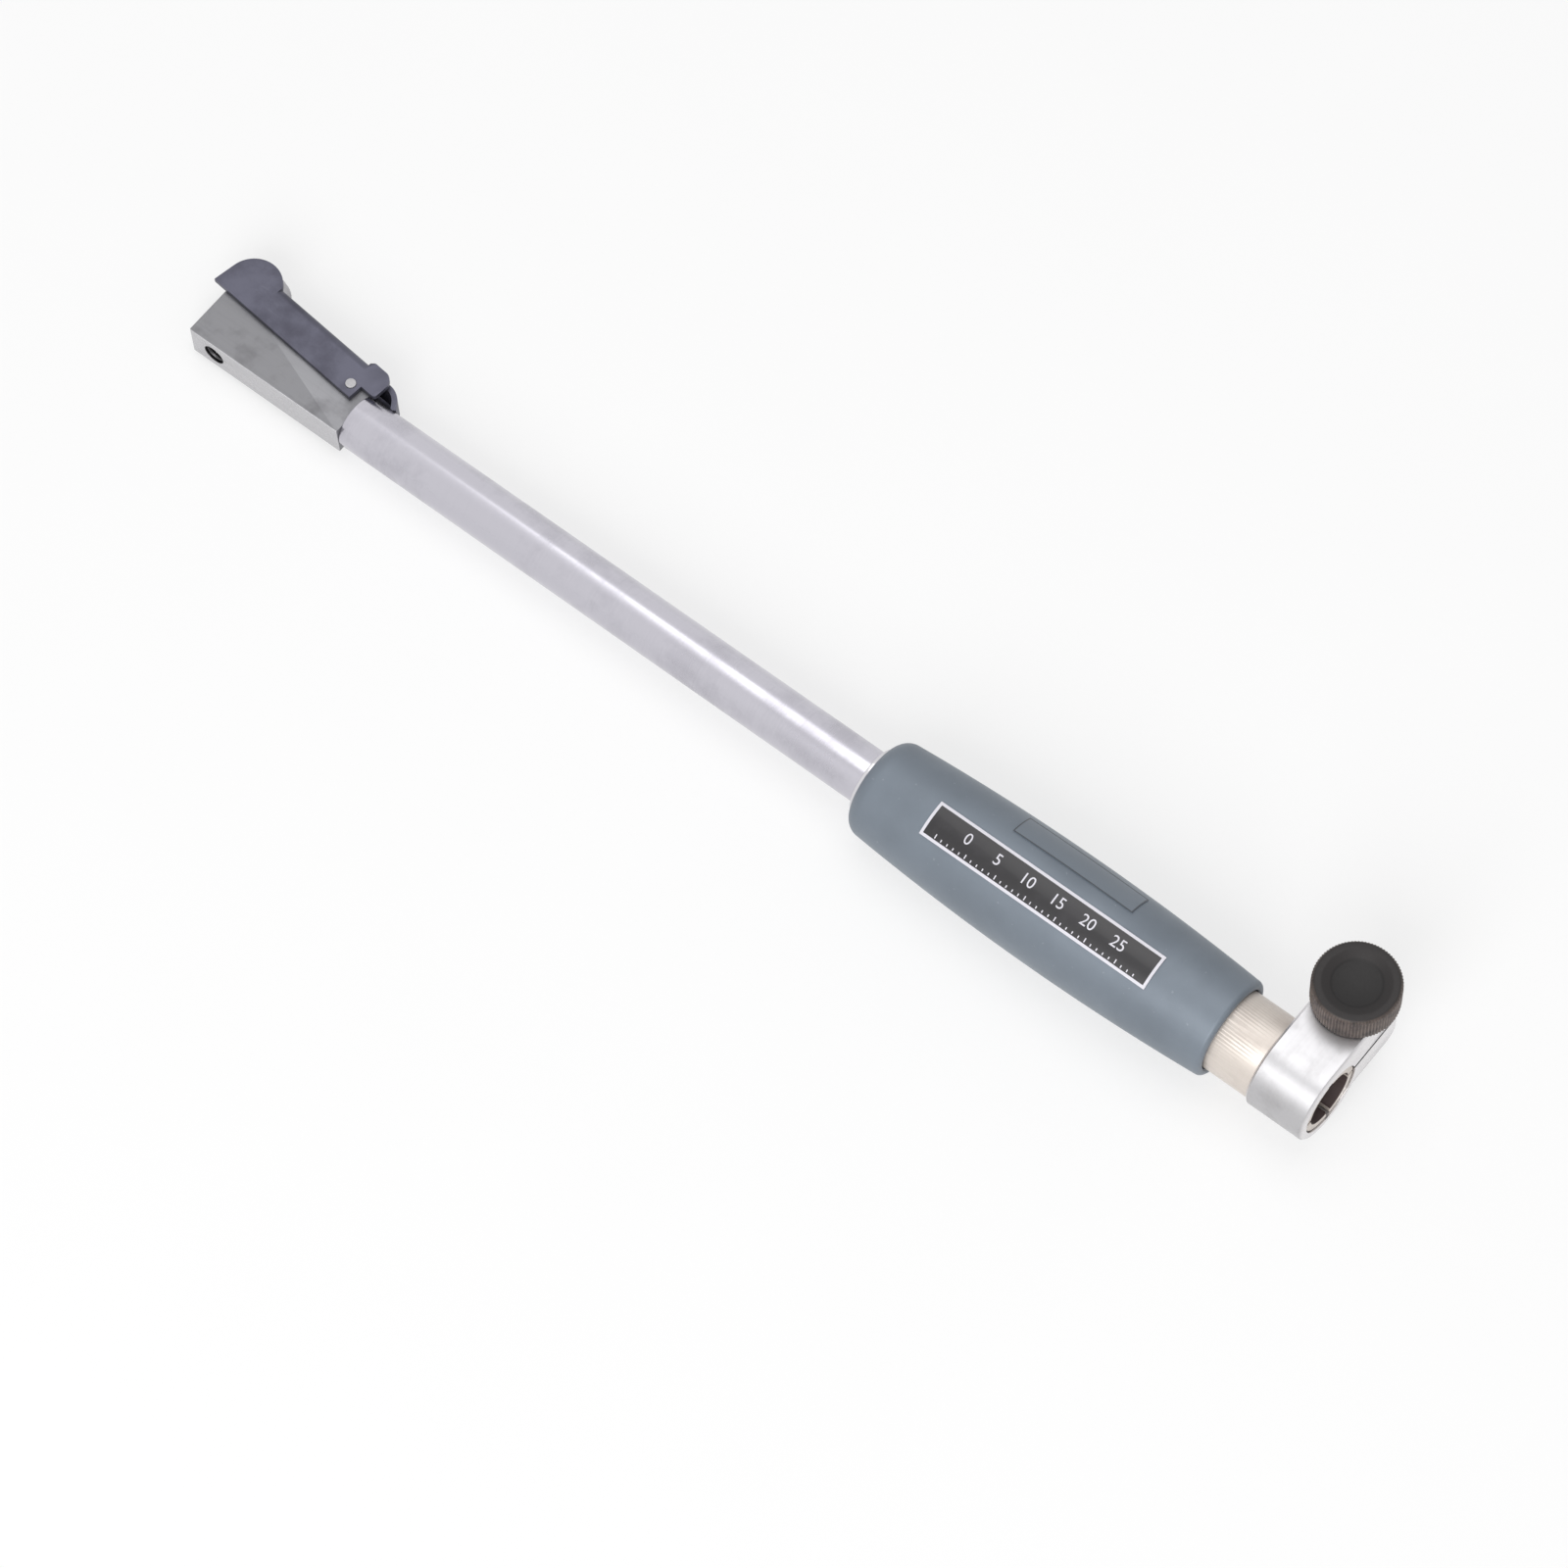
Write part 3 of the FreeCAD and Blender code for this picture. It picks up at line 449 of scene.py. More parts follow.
@dataclass(frozen=True)
class GripSatin:
    """Satin moulding of the grip: fine spark-eroded grain, polished where a hand holds it."""

    name: str = "grip_plastic"
    colour: Colour = srgb(118, 127, 137)
    dull: Colour = srgb(98, 106, 115)
    middle_x: float = -46.0 * MM
    hold: float = 26.0 * MM

    def material(self) -> bpy.types.Material:
        """Build it: grain in the relief, a slow cloud in the colour, and less roughness mid-length.

        Returns:
            The finished material.
        """
        graph = Surface(self.name)
        _, x, _, _ = graph.place()
        grain = graph.cloud(3800.0, 2.0, 0.5)
        cloud = graph.cloud(85.0, 4.0, 0.55).ramp(0.35, 0.75)
        speck = graph.cloud(1500.0, 1.0).ramp(0.74, 0.8)
        held = x.near(self.middle_x, self.hold)
        base = graph.blend(cloud * 0.45, self.colour, self.dull)
        return graph.set(
            Base_Color=graph.blend(speck * 0.25, base, srgb(165, 170, 176)), Metallic=0.25,
            Roughness=0.46 + (grain - 0.5) * 0.1 - held * 0.06 + cloud * 0.04,
            Normal=graph.relief(grain, 0.014 * MM), IOR=1.5)


@dataclass(frozen=True)
class KnobBlack:
    """Blackened knob: matt black top, browner where fingers wear the ridges of its side."""

    name: str = "knob_black"
    colour: Colour = srgb(38, 35, 35)
    worn: Colour = srgb(118, 104, 97)
    dish: Colour = srgb(27, 25, 25)
    axis: tuple[float, float] = (-4.4 * MM, 11.2 * MM)
    crest_r: float = 6.1 * MM
    root_r: float = 5.93 * MM
    dish_r: float = 3.6 * MM
    dish_edge: float = 0.15 * MM

    def material(self) -> bpy.types.Material:
        """Build it by the distance from the knob's axis: crests are worn, and the dish is darkest.

        Returns:
            The finished material.
        """
        graph = Surface(self.name)
        _, x, y, _ = graph.place()
        reach = ((x - self.axis[0]) ** 2.0 + (y - self.axis[1]) ** 2.0) ** 0.5
        crest = reach.ramp(self.root_r, self.crest_r)
        side = reach.ramp(self.root_r - 0.35 * MM, self.root_r)
        cloud = graph.cloud(700.0, 4.0, 0.6)
        grain = graph.cloud(3000.0, 2.0)
        dished = reach.ramp(self.dish_r + self.dish_edge, self.dish_r - self.dish_edge)
        top = graph.blend(dished, self.colour, self.dish)
        wear = (side * 0.55 + crest * 0.45) * cloud.ramp(0.2, 0.62)
        return graph.set(
            Base_Color=graph.blend(wear * 0.85, top, self.worn), Metallic=0.35,
            Roughness=0.5 + (grain - 0.5) * 0.16 - crest * 0.08,
            Normal=graph.relief(grain, 0.01 * MM))


@dataclass(frozen=True)
class ClampNickel:
    """Satin nickel of the clamp: ground flats, a painted highlight on both end rims, and a slightly warm
    dull tone in its stains.
    """

    name: str = "clamp_steel"
    colour: Colour = srgb(190, 189, 191)
    dull: Colour = srgb(158, 156, 157)
    # Painted highlight colour of the two end rims.
    bright: Colour = srgb(232, 229, 230)
    low_x: float = -9.0 * MM
    high_x: float = 0.2 * MM
    lit_rim_width: float = 0.4 * MM

    def material(self) -> bpy.types.Material:
        """Build it: grinding runs along the ear, and both end rims get a painted highlight and less
        roughness.

        Returns:
            The finished material.
        """
        graph = Surface(self.name)
        _, x, _, _ = graph.place()
        marks = graph.cloud(1.0, 4.0, 0.6, graph.stretched(Lay.ACROSS.value))
        stain = graph.cloud(260.0, 4.0, 0.55).ramp(0.42, 0.75)
        # Painted highlight: faces and edges within the rim width of either end of the clamp.
        rim = (x.near(self.low_x, self.lit_rim_width) + x.near(self.high_x, self.lit_rim_width)).held()
        base = graph.blend((stain * 0.45 + (marks - 0.5) * 0.35).held(), self.colour, self.dull)
        return graph.set(
            Base_Color=graph.blend(rim * 0.7, base, self.bright), Metallic=1.0,
            Roughness=0.36 + (marks - 0.5) * 0.12 + stain * 0.06 - rim * 0.12,
            Normal=graph.relief(marks, 0.01 * MM))


@dataclass(frozen=True)
class SleeveSatin:
    """Warm satin of the sleeve, with painted shade in the bore inside."""

    name: str = "neck_satin"
    colour: Colour = srgb(212, 203, 195)
    dull: Colour = srgb(186, 175, 167)
    # Painted shade colour of the bore.
    inside: Colour = srgb(62, 48, 47)
    bore_r: float = 4.0 * MM

    def material(self) -> bpy.types.Material:
        """Build it by the distance from the stem's axis: dark up to just past the bore's radius.

        Returns:
            The finished material.
        """
        graph = Surface(self.name)
        _, _, y, z = graph.place()
        marks = graph.cloud(1.0, 4.0, 0.6, graph.stretched(Lay.ROUND.value))
        stain = graph.cloud(190.0, 4.0, 0.6).ramp(0.42, 0.72)
        reach = (y ** 2.0 + z ** 2.0) ** 0.5
        # Painted shade: the bore's wall and the inner edge of the end faces are darkened, made less metallic
        # and rougher.
        bore = reach.ramp(self.bore_r + 0.16 * MM, self.bore_r + 0.06 * MM)
        satin = graph.blend((stain * 0.4 + (marks - 0.5) * 0.25).held(), self.colour, self.dull)
        return graph.set(
            Base_Color=graph.blend(bore, satin, self.inside), Metallic=0.35 - bore * 0.3,
            Roughness=0.4 + (marks - 0.5) * 0.08 + bore * 0.3, Normal=graph.relief(marks, 0.005 * MM))


@dataclass(frozen=True)
class LabelFilm:
    """Printed film of a label: even ink with a faint screen and a rubbed gloss."""

    name: str
    ink: Colour
    rubbed: Colour
    gloss: float = 0.34

    def material(self) -> bpy.types.Material:
        """Build it from a fine screen of noise in the ink and slow rubs in the gloss.

        Returns:
            The finished material.
        """
        graph = Surface(self.name)
        screen = graph.cloud(4200.0, 2.0)
        rubs = graph.cloud(260.0, 4.0, 0.6).ramp(0.5, 0.75)
        return graph.set(
            Base_Color=graph.blend((rubs * 0.3 + (screen - 0.5) * 0.3).held(), self.ink, self.rubbed),
            Roughness=self.gloss + rubs * 0.12 + (screen - 0.5) * 0.06, Coat_Weight=0.15,
            Normal=graph.relief(screen, 0.003 * MM))


@dataclass(frozen=True)
class TableTop:
    """Plain pale table: white to the camera and in reflections, with the object's soft shadow kept."""

    name: str = "table_top"
    white: float = 0.97
    shade: float = 0.95
    glow: float = 0.62

    def material(self) -> bpy.types.Material:
        """Build it: a diffuse white, and for rays from the camera or a gloss a share of plain white.

        Returns:
            The finished material.
        """
        graph = Surface(self.name)
        grain = graph.cloud(40.0, 2.0)
        tone = graph.blend(grain, (*[self.white] * 3, 1.0), (*[self.shade] * 3, 1.0))
        graph.set(Base_Color=tone, Roughness=0.9, Specular_IOR_Level=0.0)
        plain = graph.node("ShaderNodeEmission", {}, {"Color": WHITE, "Strength": 1.0})
        lit = Reading(graph, graph.shader.outputs[0])
        mixed = graph.node("ShaderNodeMixShader", {}, {0: graph.plain_rays() * self.glow, 1: lit, 2: plain})
        graph.tree.links.new(mixed.socket, graph.output.inputs["Surface"])
        return graph.material


# ---------------------------------------------------------------- surfaces
class Round(Enum):
    """The axis that a turned piece is turned about."""

    STEM = 0
    KNOB = 1


def grid_faces(rows: int, columns: int, wrap_rows: bool, wrap_columns: bool) -> Array:
    """Join a grid of points into quads.

    Face (i, j) takes the points (i, j), (i + 1, j), (i + 1, j + 1) and (i, j + 1), counted round
    where the grid wraps.

    Args:
        rows: points along the first parameter.
        columns: points along the second parameter.
        wrap_rows: whether the last row joins the first.
        wrap_columns: whether the last column joins the first.

    Returns:
        An array of four point numbers a face.
    """
    i = np.arange(rows if wrap_rows else rows - 1)[:, None]
    j = np.arange(columns if wrap_columns else columns - 1)[None, :]
    down, right = (i + 1) % rows, (j + 1) % columns
    corners = [i * columns + j, down * columns + j, down * columns + right, i * columns + right]
    return np.stack([c + 0 * (i + j) for c in corners], axis=-1).reshape(-1, 4)


def make_piece(
    name: str, points: Array, faces: Array, finish: bpy.types.Material, sharp: float = 35.0
) -> bpy.types.Object:
    """Put worked-out points and faces into a new object at the origin.

    Args:
        name: the piece's name.
        points: an array of points, the last axis holding X, Y and Z in metres.
        faces: an array of point numbers, one row a face.
        finish: its material.
        sharp: edges that turn by more than this, in degrees, stay crisp.

    Returns:
        The new object, shaded smooth between its crisp edges.
    """
    mesh = bpy.data.meshes.new(name)
    mesh.from_pydata(np.asarray(points, float).reshape(-1, 3).tolist(), [], faces.tolist())
    mesh.update()
    return settle(name, mesh, finish, sharp)


def settle(name: str, mesh: bpy.types.Mesh, finish: bpy.types.Material, sharp: float) -> bpy.types.Object:
    """Merge a mesh's doubles, face it outwards, smooth it and put it in the scene.

    Args:
        name: the piece's name.
        mesh: its mesh.
        finish: its material.
        sharp: edges that turn by more than this, in degrees, stay crisp.

    Returns:
        The new object.
    """
    work = bmesh.new()
    work.from_mesh(mesh)
    bmesh.ops.remove_doubles(work, verts=work.verts, dist=SAME_PLACE)
    bmesh.ops.recalc_face_normals(work, faces=work.faces)
    work.to_mesh(mesh)
    work.free()
    mesh.polygons.foreach_set("use_smooth", np.ones(len(mesh.polygons), bool))
    mesh.set_sharp_from_angle(angle=math.radians(sharp))
    mesh.materials.clear()
    mesh.materials.append(finish)
    piece = bpy.data.objects.new(name, mesh)
    bpy.context.scene.collection.objects.link(piece)
    return piece


def rounded(outline: list[tuple[float, float]], radius: float, steps: int = 4) -> Array:
    """Round every corner of a closed outline.

    At each corner the curve is the quadratic (1-t)^2 A + 2t(1-t) C + t^2 B, where C is the corner,
    and A and B lie on its two sides, one radius away or at a third of a shorter side.

    Args:
        outline: corners as (along, out) pairs in metres.
        radius: reach of the rounding from each corner.
        steps: points less one in each rounding.

    Returns:
        The rounded outline.
    """
    corner = np.array(outline)
    before, after = np.roll(corner, 1, axis=0) - corner, np.roll(corner, -1, axis=0) - corner
    back, ahead = (np.linalg.norm(side, axis=1, keepdims=True) for side in (before, after))
    start = corner + before / back * np.minimum(radius, back / 3)
    end = corner + after / ahead * np.minimum(radius, ahead / 3)
    t = np.linspace(0, 1, steps + 1)[None, :, None]
    curve = (1 - t) ** 2 * start[:, None] + 2 * t * (1 - t) * corner[:, None] + t ** 2 * end[:, None]
    return curve.reshape(-1, 2)


def turned_points(
    outline: Array, segments: int, axis: Round, centre: tuple[float, float] = (0.0, 0.0)
) -> Array:
    """Carry an outline round an axis.

    About the stem a point (a, r) goes to (a, r cos w, r sin w). About the knob it goes to
    (centre x + r cos w, centre y + r sin w, a). w runs once round.

    Args:
        outline: (along, out) pairs in metres.
        segments: steps round the axis.
        axis: which axis.
        centre: X and Y of the knob's axis.

    Returns:
        Points by step round the axis and place on the outline.
    """
    turn = np.linspace(0, 2 * math.pi, segments, endpoint=False)[:, None]
    along, out = outline[None, :, 0] + 0 * turn, outline[None, :, 1]
    across, over = out * np.cos(turn), out * np.sin(turn)
    if axis is Round.STEM:
        return np.stack([along, across, over], axis=-1)
    return np.stack([centre[0] + across, centre[1] + over, along], axis=-1)


def lathe(
    name: str, outline: list[tuple[float, float]], finish: bpy.types.Material, edge: float
) -> bpy.types.Object:
    """Turn a closed outline about the stem, with its corners rounded.

    Args:
        name: the piece's name.
        outline: corners as (along, out) pairs in metres.
        finish: its material.
        edge: reach of the rounding at each corner.

    Returns:
        The new object.
    """
    points = turned_points(rounded(outline, edge), STEM_STEPS, Round.STEM)
    return make_piece(name, points, grid_faces(*points.shape[:2], True, True), finish)


def seat(piece: bpy.types.Object, body: str) -> None:
    """Fix a piece to a body and report it.

    Args:
        piece: the piece.
        body: the body it rides on.
    """
    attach(piece, body)
    LOG.info("%s rides on %s, %d points", piece.name, body, len(piece.data.vertices))


def stand_in(piece: bpy.types.Object, node: str, body: str) -> None:
    """Put a piece in a frame node's place and seat it."""
    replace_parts(piece, node)
    seat(piece, body)


def dress(node: str, name: str, body: str, finish: bpy.types.Material, edge: float = 0.0) -> None:
    """Stand a merged copy in for a frame node, with its crisp edges broken.

    Args:
        node: the frame node.
        name: the piece's name.
        body: the body it rides on.
        finish: its material.
        edge: width of the broken edges in metres, or 0 for none.
    """
    mesh = bpy.data.objects[node].data.copy()
    mesh.name = name
    if mesh.has_custom_normals:
        mesh.normals_split_custom_set_from_vertices(np.zeros((len(mesh.vertices), 3)).tolist())
    piece = settle(name, mesh, finish, CRISP_ANGLE)
    if edge > 0:
        bevel = piece.modifiers.new("broken_edges", "BEVEL")
        bevel.width, bevel.segments = edge, BROKEN_STEPS
        bevel.limit_method, bevel.angle_limit = "ANGLE", math.radians(CRISP_ANGLE)
        bevel.use_clamp_overlap, bevel.harden_normals = True, True
    stand_in(piece, node, body)


# ---------------------------------------------------------------- stem and grip
@dataclass
class Stem:
    """Chromed tube from the head to the inside of the grip."""

    head_x: float = -167.4 * MM
    sleeve_x: float = -36.0 * MM
    end_x: float = -24.0 * MM
    outer_r: float = 4.0 * MM
    end_r: float = 3.8 * MM
    bore_r: float = 3.0 * MM
    finish: StemChrome = field(default_factory=StemChrome)

    def build(self) -> None:
        """Turn the tube from its section."""
        outline = [
            (self.head_x, self.bore_r), (self.head_x, self.outer_r), (self.sleeve_x, self.outer_r),
            (self.sleeve_x, self.end_r), (self.end_x, self.end_r), (self.end_x, self.bore_r)]
        tube = lathe("chromed_tube", outline, self.finish.material(), 0.15 * MM)
        stand_in(tube, "stem_tube", "frame")


@dataclass
class Barrel:
    """Barrel curve of the grip, shared by the grip and its labels."""

    head_x: float = -75.9 * MM
    clamp_x: float = -16.0 * MM
    head_r: float = 7.4 * MM
    belly_r: float = 8.5 * MM
    clamp_r: float = 7.5 * MM
    belly_at: float = 34.5 * MM
    shoulder: float = 2.4 * MM
    edge: float = 0.8 * MM

    def circle(self) -> tuple[float, float, float]:
        """Find the circle through the barrel's two ends and its belly.

        Returns:
            X and radius of its centre, and its own radius.
        """
        points = np.array([
            (self.head_x + self.shoulder, self.head_r), (self.head_x + self.belly_at, self.belly_r),
            (self.clamp_x - self.edge, self.clamp_r)])
        left = 2 * (points[1:] - points[0])
        right = (points[1:] ** 2).sum(1) - (points[0] ** 2).sum()
        centre = np.linalg.solve(left, right)
        return float(centre[0]), float(centre[1]), float(np.linalg.norm(points[0] - centre))

    def radius(self, x: Array) -> Array:
        """Radius of the barrel at x: centre radius plus the circle's rise there."""
        centre_x, centre_r, radius = self.circle()
        return centre_r + np.sqrt(radius ** 2 - (np.asarray(x) - centre_x) ** 2)


@dataclass
class Grip:
    """Moulded barrel, the bright ring before it, and the shadow line round the neck."""

    barrel: Barrel = field(default_factory=Barrel)
    ring_r: float = 5.0 * MM
    ring_seat: float = 0.8 * MM
    ring_proud: float = 0.6 * MM
    tube_r: float = 4.02 * MM
    spigot_r: float = 5.52 * MM
    sleeve_x: float = -36.0 * MM
    mouth_r: float = 6.3 * MM
    mouth_depth: float = 1.2 * MM
    mouth_edge: float = 0.25 * MM
    seat_gap: float = 0.02 * MM
    finish: GripSatin = field(default_factory=GripSatin)

    def outline(self) -> Array:
        """Closed section: shoulder, barrel arc, rounded end, mouth and bore.

        The shoulder is the quarter of an ellipse from the ring's seat to the barrel's start.

        Returns:
            (along, out) pairs in metres.
        """
        shape = self.barrel
        start_x, stop_x = shape.head_x + shape.shoulder, shape.clamp_x - shape.edge
        turn = np.linspace(0, math.pi / 2, 14)[:, None]
        seat_x, seat_r = shape.head_x + self.ring_seat, self.ring_r + self.seat_gap
        rise = shape.head_r - seat_r
        shoulder = np.hstack([start_x - shape.shoulder * np.cos(turn), seat_r + rise * np.sin(turn)])
        x = np.linspace(start_x, stop_x, 60)
        belly = np.stack([x, shape.radius(x)], axis=1)
        end = np.hstack([
            stop_x + shape.edge * np.sin(turn), shape.clamp_r - shape.edge * (1 - np.cos(turn))])
        deep_x = shape.clamp_x - self.mouth_depth
        inner = np.array([
            (shape.clamp_x, self.mouth_r + self.mouth_edge), (shape.clamp_x - self.mouth_edge, self.mouth_r),
            (deep_x, self.mouth_r), (deep_x, self.spigot_r), (self.sleeve_x, self.spigot_r),
            (self.sleeve_x, self.tube_r), (seat_x, self.tube_r), (seat_x, seat_r)])
        return np.concatenate([shoulder, belly[1:], end[1:], inner])

    def build(self) -> None:
        """Turn the grip and its ring."""
        points = turned_points(self.outline(), 160, Round.STEM)
        faces = grid_faces(*points.shape[:2], True, True)
        grip = make_piece("moulded_grip", points, faces, self.finish.material())
        stand_in(grip, "grip", "frame")
        low, high = self.barrel.head_x - self.ring_proud, self.barrel.head_x + self.ring_seat
        outline = [(low, self.tube_r), (low, self.ring_r), (high, self.ring_r), (high, self.tube_r)]
        chrome = WorkedMetal("ring_chrome", srgb(214, 213, 216), srgb(182, 180, 184), 0.16, Lay.ROUND, 0.3)
        ring = lathe("bright_ring", outline, chrome.material(), 0.25 * MM)
        stand_in(ring, "grip_ring", "frame")


@dataclass
class Label:
    """Thin film wrapped on the barrel, with a printed frame."""

    node: str
    slot: str
    length: float
    width: float
    middle_x: float
    turn: float
    film: LabelFilm
    print_ink: LabelFilm
    frame_width: float
    barrel: Barrel = field(default_factory=Barrel)
    thick: float = 0.15 * MM
    glue: float = 0.02 * MM
    proud: float = 0.02 * MM

    def wrap(self, flat: Array, lift: Array | float) -> Array:
        """Lay flat points on the barrel.

        A point (a, b) goes to x = middle + a. Its angle from +Z towards -Y is the turn less b over
        the radius there, and its distance from the axis is that radius plus the lift.

        Args:
            flat: (a, b) pairs in metres, a along the stem and b towards +Y.
            lift: height above the moulding.

        Returns:
            Points in the row frame.
        """
        x = self.middle_x + flat[..., 0]
        radius = self.barrel.radius(x)
        angle = math.radians(self.turn) - flat[..., 1] / radius
        out = radius + lift
        return np.stack([x, -out * np.sin(angle), out * np.cos(angle)], axis=-1)

    def slab(
        self, name: str, flat: Array, wraps: bool, base: float, top: float, ink: bpy.types.Material
    ) -> None:
        """Make a closed thin piece from a flat grid: an upper and a lower sheet joined at the rim.

        Args:
            name: the piece's name.
            flat: grid of (a, b) pairs in metres.
            wraps: whether the grid's rows join round, as in a frame.
            base: height of the lower sheet above the moulding.
            top: height of the upper sheet.
            ink: its material.
        """
        rows, columns = flat.shape[:2]
        shell = np.concatenate([flat, flat[:, ::-1]], axis=1)
        lift = np.concatenate([np.full(columns, top), np.full(columns, base)])
        points = self.wrap(shell, lift)
        faces = grid_faces(rows, 2 * columns, wraps, True)
        if not wraps:
            column = np.arange(columns - 1)
            ends = []
            for row in (0, rows - 1):
                first = row * 2 * columns + column
                last = row * 2 * columns + 2 * columns - 1 - column
                ends.append(np.stack([first, first + 1, last - 1, last], axis=1))
            faces = np.concatenate([faces, *ends])
        seat(make_piece(name, points, faces, ink), "frame")

    def frame_grid(self) -> Array:
        """Flat frame: rectangles from the outer to the inner edge, walked round in even steps.

        Returns:
            Grid of (a, b) pairs by step round the frame and place across it.
        """
        outer = np.array([self.length, self.width]) / 2
        steps = np.array([30, 8, 30, 8])
        corner = np.array([(-1, -1), (1, -1), (1, 1), (-1, 1)], float)
        ahead = np.roll(corner, -1, axis=0)
        side = np.repeat(np.arange(4), steps)
        share = np.concatenate([np.arange(n) / n for n in steps])[:, None]
        walk = corner[side] * (1 - share) + ahead[side] * share
        return np.stack([walk * outer, walk * (outer - self.frame_width)], axis=1)

    def build(self) -> None:
        """Make the film and its printed frame."""
        along = np.linspace(-0.5, 0.5, 41)[:, None] * self.length
        across = np.linspace(-0.5, 0.5, 13)[None, :] * self.width
        flat = np.stack([along + 0 * across, across + 0 * along], axis=-1)
        film, ink = self.film.material(), self.print_ink.material()
        self.slab(self.node + "_film", flat, False, self.glue, self.thick, film)
        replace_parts(bpy.data.objects[self.node + "_film"], self.node)
        low, high = self.thick - self.proud, self.thick + self.proud
        self.slab(self.node + "_frame", self.frame_grid(), True, low, high, ink)


@dataclass
class ScaleLabel(Label):
    """Label with a plain printed scale: ticks along one side, and round numbers over them."""

    tick_step: float = 1.0 * MM
    tick_width: float = 0.16 * MM
    tick_gap: float = 0.18 * MM
    end_gap: float = 2.4 * MM
    number_step: float = 5.0 * MM
    number_height: float = 2.3 * MM
    number_up: float = 0.38 * MM

    def ticks(self, ink: bpy.types.Material) -> None:
        """Print the ticks: equal steps along the film, and every fifth one longer.

        Args:
            ink: the print's material.
        """
        count = int((self.length - self.end_gap - 4 * self.frame_width) / self.tick_step)
        place = (np.arange(count + 1) - count / 2) * self.tick_step
        low = -self.width / 2 + self.frame_width + self.tick_gap
        tall = np.where(np.arange(count + 1) % 5 == 0, 0.62, 0.36) * MM
        a = place[:, None, None] + np.array([-0.5, 0.5])[None, :, None] * self.tick_width
        b = low + tall[:, None, None] * np.linspace(0, 1, 3)[None, None, :]
        flat = np.stack([a + 0 * b, b + 0 * a], axis=-1)
        points = self.wrap(flat, self.thick + self.proud)
        one = grid_faces(2, 3, False, False)
        faces = (one[None] + 6 * np.arange(count + 1)[:, None, None]).reshape(-1, 4)
        seat(make_piece("scale_ticks", points, faces, ink), "frame")

    def slice(self, mesh: bpy.types.Mesh, cuts: int = 9) -> None:
        """Cut a flat number into level strips, so that its strokes follow the barrel's curve.

        Args:
            mesh: the number's flat mesh.
            cuts: how many lines cut it.
        """
        work = bmesh.new()
        work.from_mesh(mesh)
        for level in np.linspace(-0.5, 0.5, cuts) * self.number_height:
            parts = [*work.verts, *work.edges, *work.faces]
            bmesh.ops.bisect_plane(work, geom=parts, plane_co=(0, level, 0), plane_no=(0, 1, 0))
        work.to_mesh(mesh)
        work.free()

    def numbers(self, ink: bpy.types.Material) -> None:
        """Print round numbers, each a flat outline that is made a mesh and then laid on the barrel.

        Args:
            ink: the print's material.
        """
        words = ["0", "5", "10", "15", "20", "25"]
        places = (np.arange(len(words)) - (len(words) - 1) / 2) * self.number_step
        for word, place in zip(words, places):
            curve = bpy.data.curves.new("scale_number_" + word, "FONT")
            curve.body, curve.size = word, self.number_height
            curve.align_x, curve.align_y, curve.resolution_u = "CENTER", "CENTER", 6
            holder = bpy.data.objects.new("number_holder", curve)
            bpy.context.scene.collection.objects.link(holder)
            mesh = bpy.data.meshes.new_from_object(holder)
            bpy.data.objects.remove(holder)
            self.slice(mesh)
            flat = np.zeros(len(mesh.vertices) * 3)
            mesh.vertices.foreach_get("co", flat)
            flat = flat.reshape(-1, 3)[:, :2] + np.array([place, self.number_up])
            mesh.vertices.foreach_set("co", self.wrap(flat, self.thick + self.proud).reshape(-1))
            seat(settle("scale_number_" + word, mesh, ink, 35.0), "frame")

    def build(self) -> None:
        """Make the film, its frame, the ticks and the numbers."""
        super().build()
        ink = bpy.data.objects[self.node + "_frame"].data.materials[0]
        self.ticks(ink)
        self.numbers(ink)


# ---------------------------------------------------------------- clamp and knob
@dataclass
class Clamp:
    """Slotted sleeve, split block and threaded stud."""

    stud_x: float = -4.4 * MM
    stud_y: float = 11.2 * MM
    stud_r: float = 1.5 * MM
    stud_low: float = -3.9 * MM
    stud_high: float = 10.28 * MM
    pitch: float = 0.5 * MM
    thread_depth: float = 0.26 * MM
    end_depth: float = 0.3 * MM
    end_length: float = 0.4 * MM
    steps_up: int = 168
    steps_round: int = 40
    edge: float = 0.12 * MM

    def stud(self) -> None:
        """Thread the stud.

        Its radius at height h and angle w is the crest less the thread's depth times a triangle
        wave of h / pitch - w / full turn, and both ends run in to a smaller flat.
        """
        turn = np.linspace(0, 2 * math.pi, self.steps_round, endpoint=False)[:, None]
        height = np.linspace(self.stud_low, self.stud_high, self.steps_up + 1)[None, :]
        phase = (height / self.pitch - turn / (2 * math.pi)) % 1.0
        depth = self.thread_depth * np.abs(2 * phase - 1)
        ends = np.minimum(height - self.stud_low, self.stud_high - height) / self.end_length
        radius = self.stud_r - np.maximum(depth, self.end_depth * (1 - np.clip(ends, 0, 1)))
        closed = np.concatenate([0 * turn, radius + 0 * turn, 0 * turn], axis=1)
        level = np.concatenate([height[:, :1], height, height[:, -1:]], axis=1) + 0 * turn
        points = np.stack([
            self.stud_x + closed * np.cos(turn), self.stud_y + closed * np.sin(turn), level], axis=-1)
        steel = WorkedMetal("screw_steel", srgb(176, 174, 174), srgb(132, 128, 126), 0.34, Lay.ROUND, 0.5)
        faces = grid_faces(*points.shape[:2], True, False)
        stud = make_piece("threaded_stud", points, faces, steel.material(), 60.0)
        stand_in(stud, "clamp_screw", "screw")

    def build(self) -> None:
        """Dress the sleeve and the block, and thread the stud."""
        warm = SleeveSatin().material()
        dress("neck_sleeve", "slotted_sleeve", "frame", warm, self.edge)
        nickel = ClampNickel().material()
        dress("clamp_block", "split_clamp", "frame", nickel, self.edge)
        self.stud()


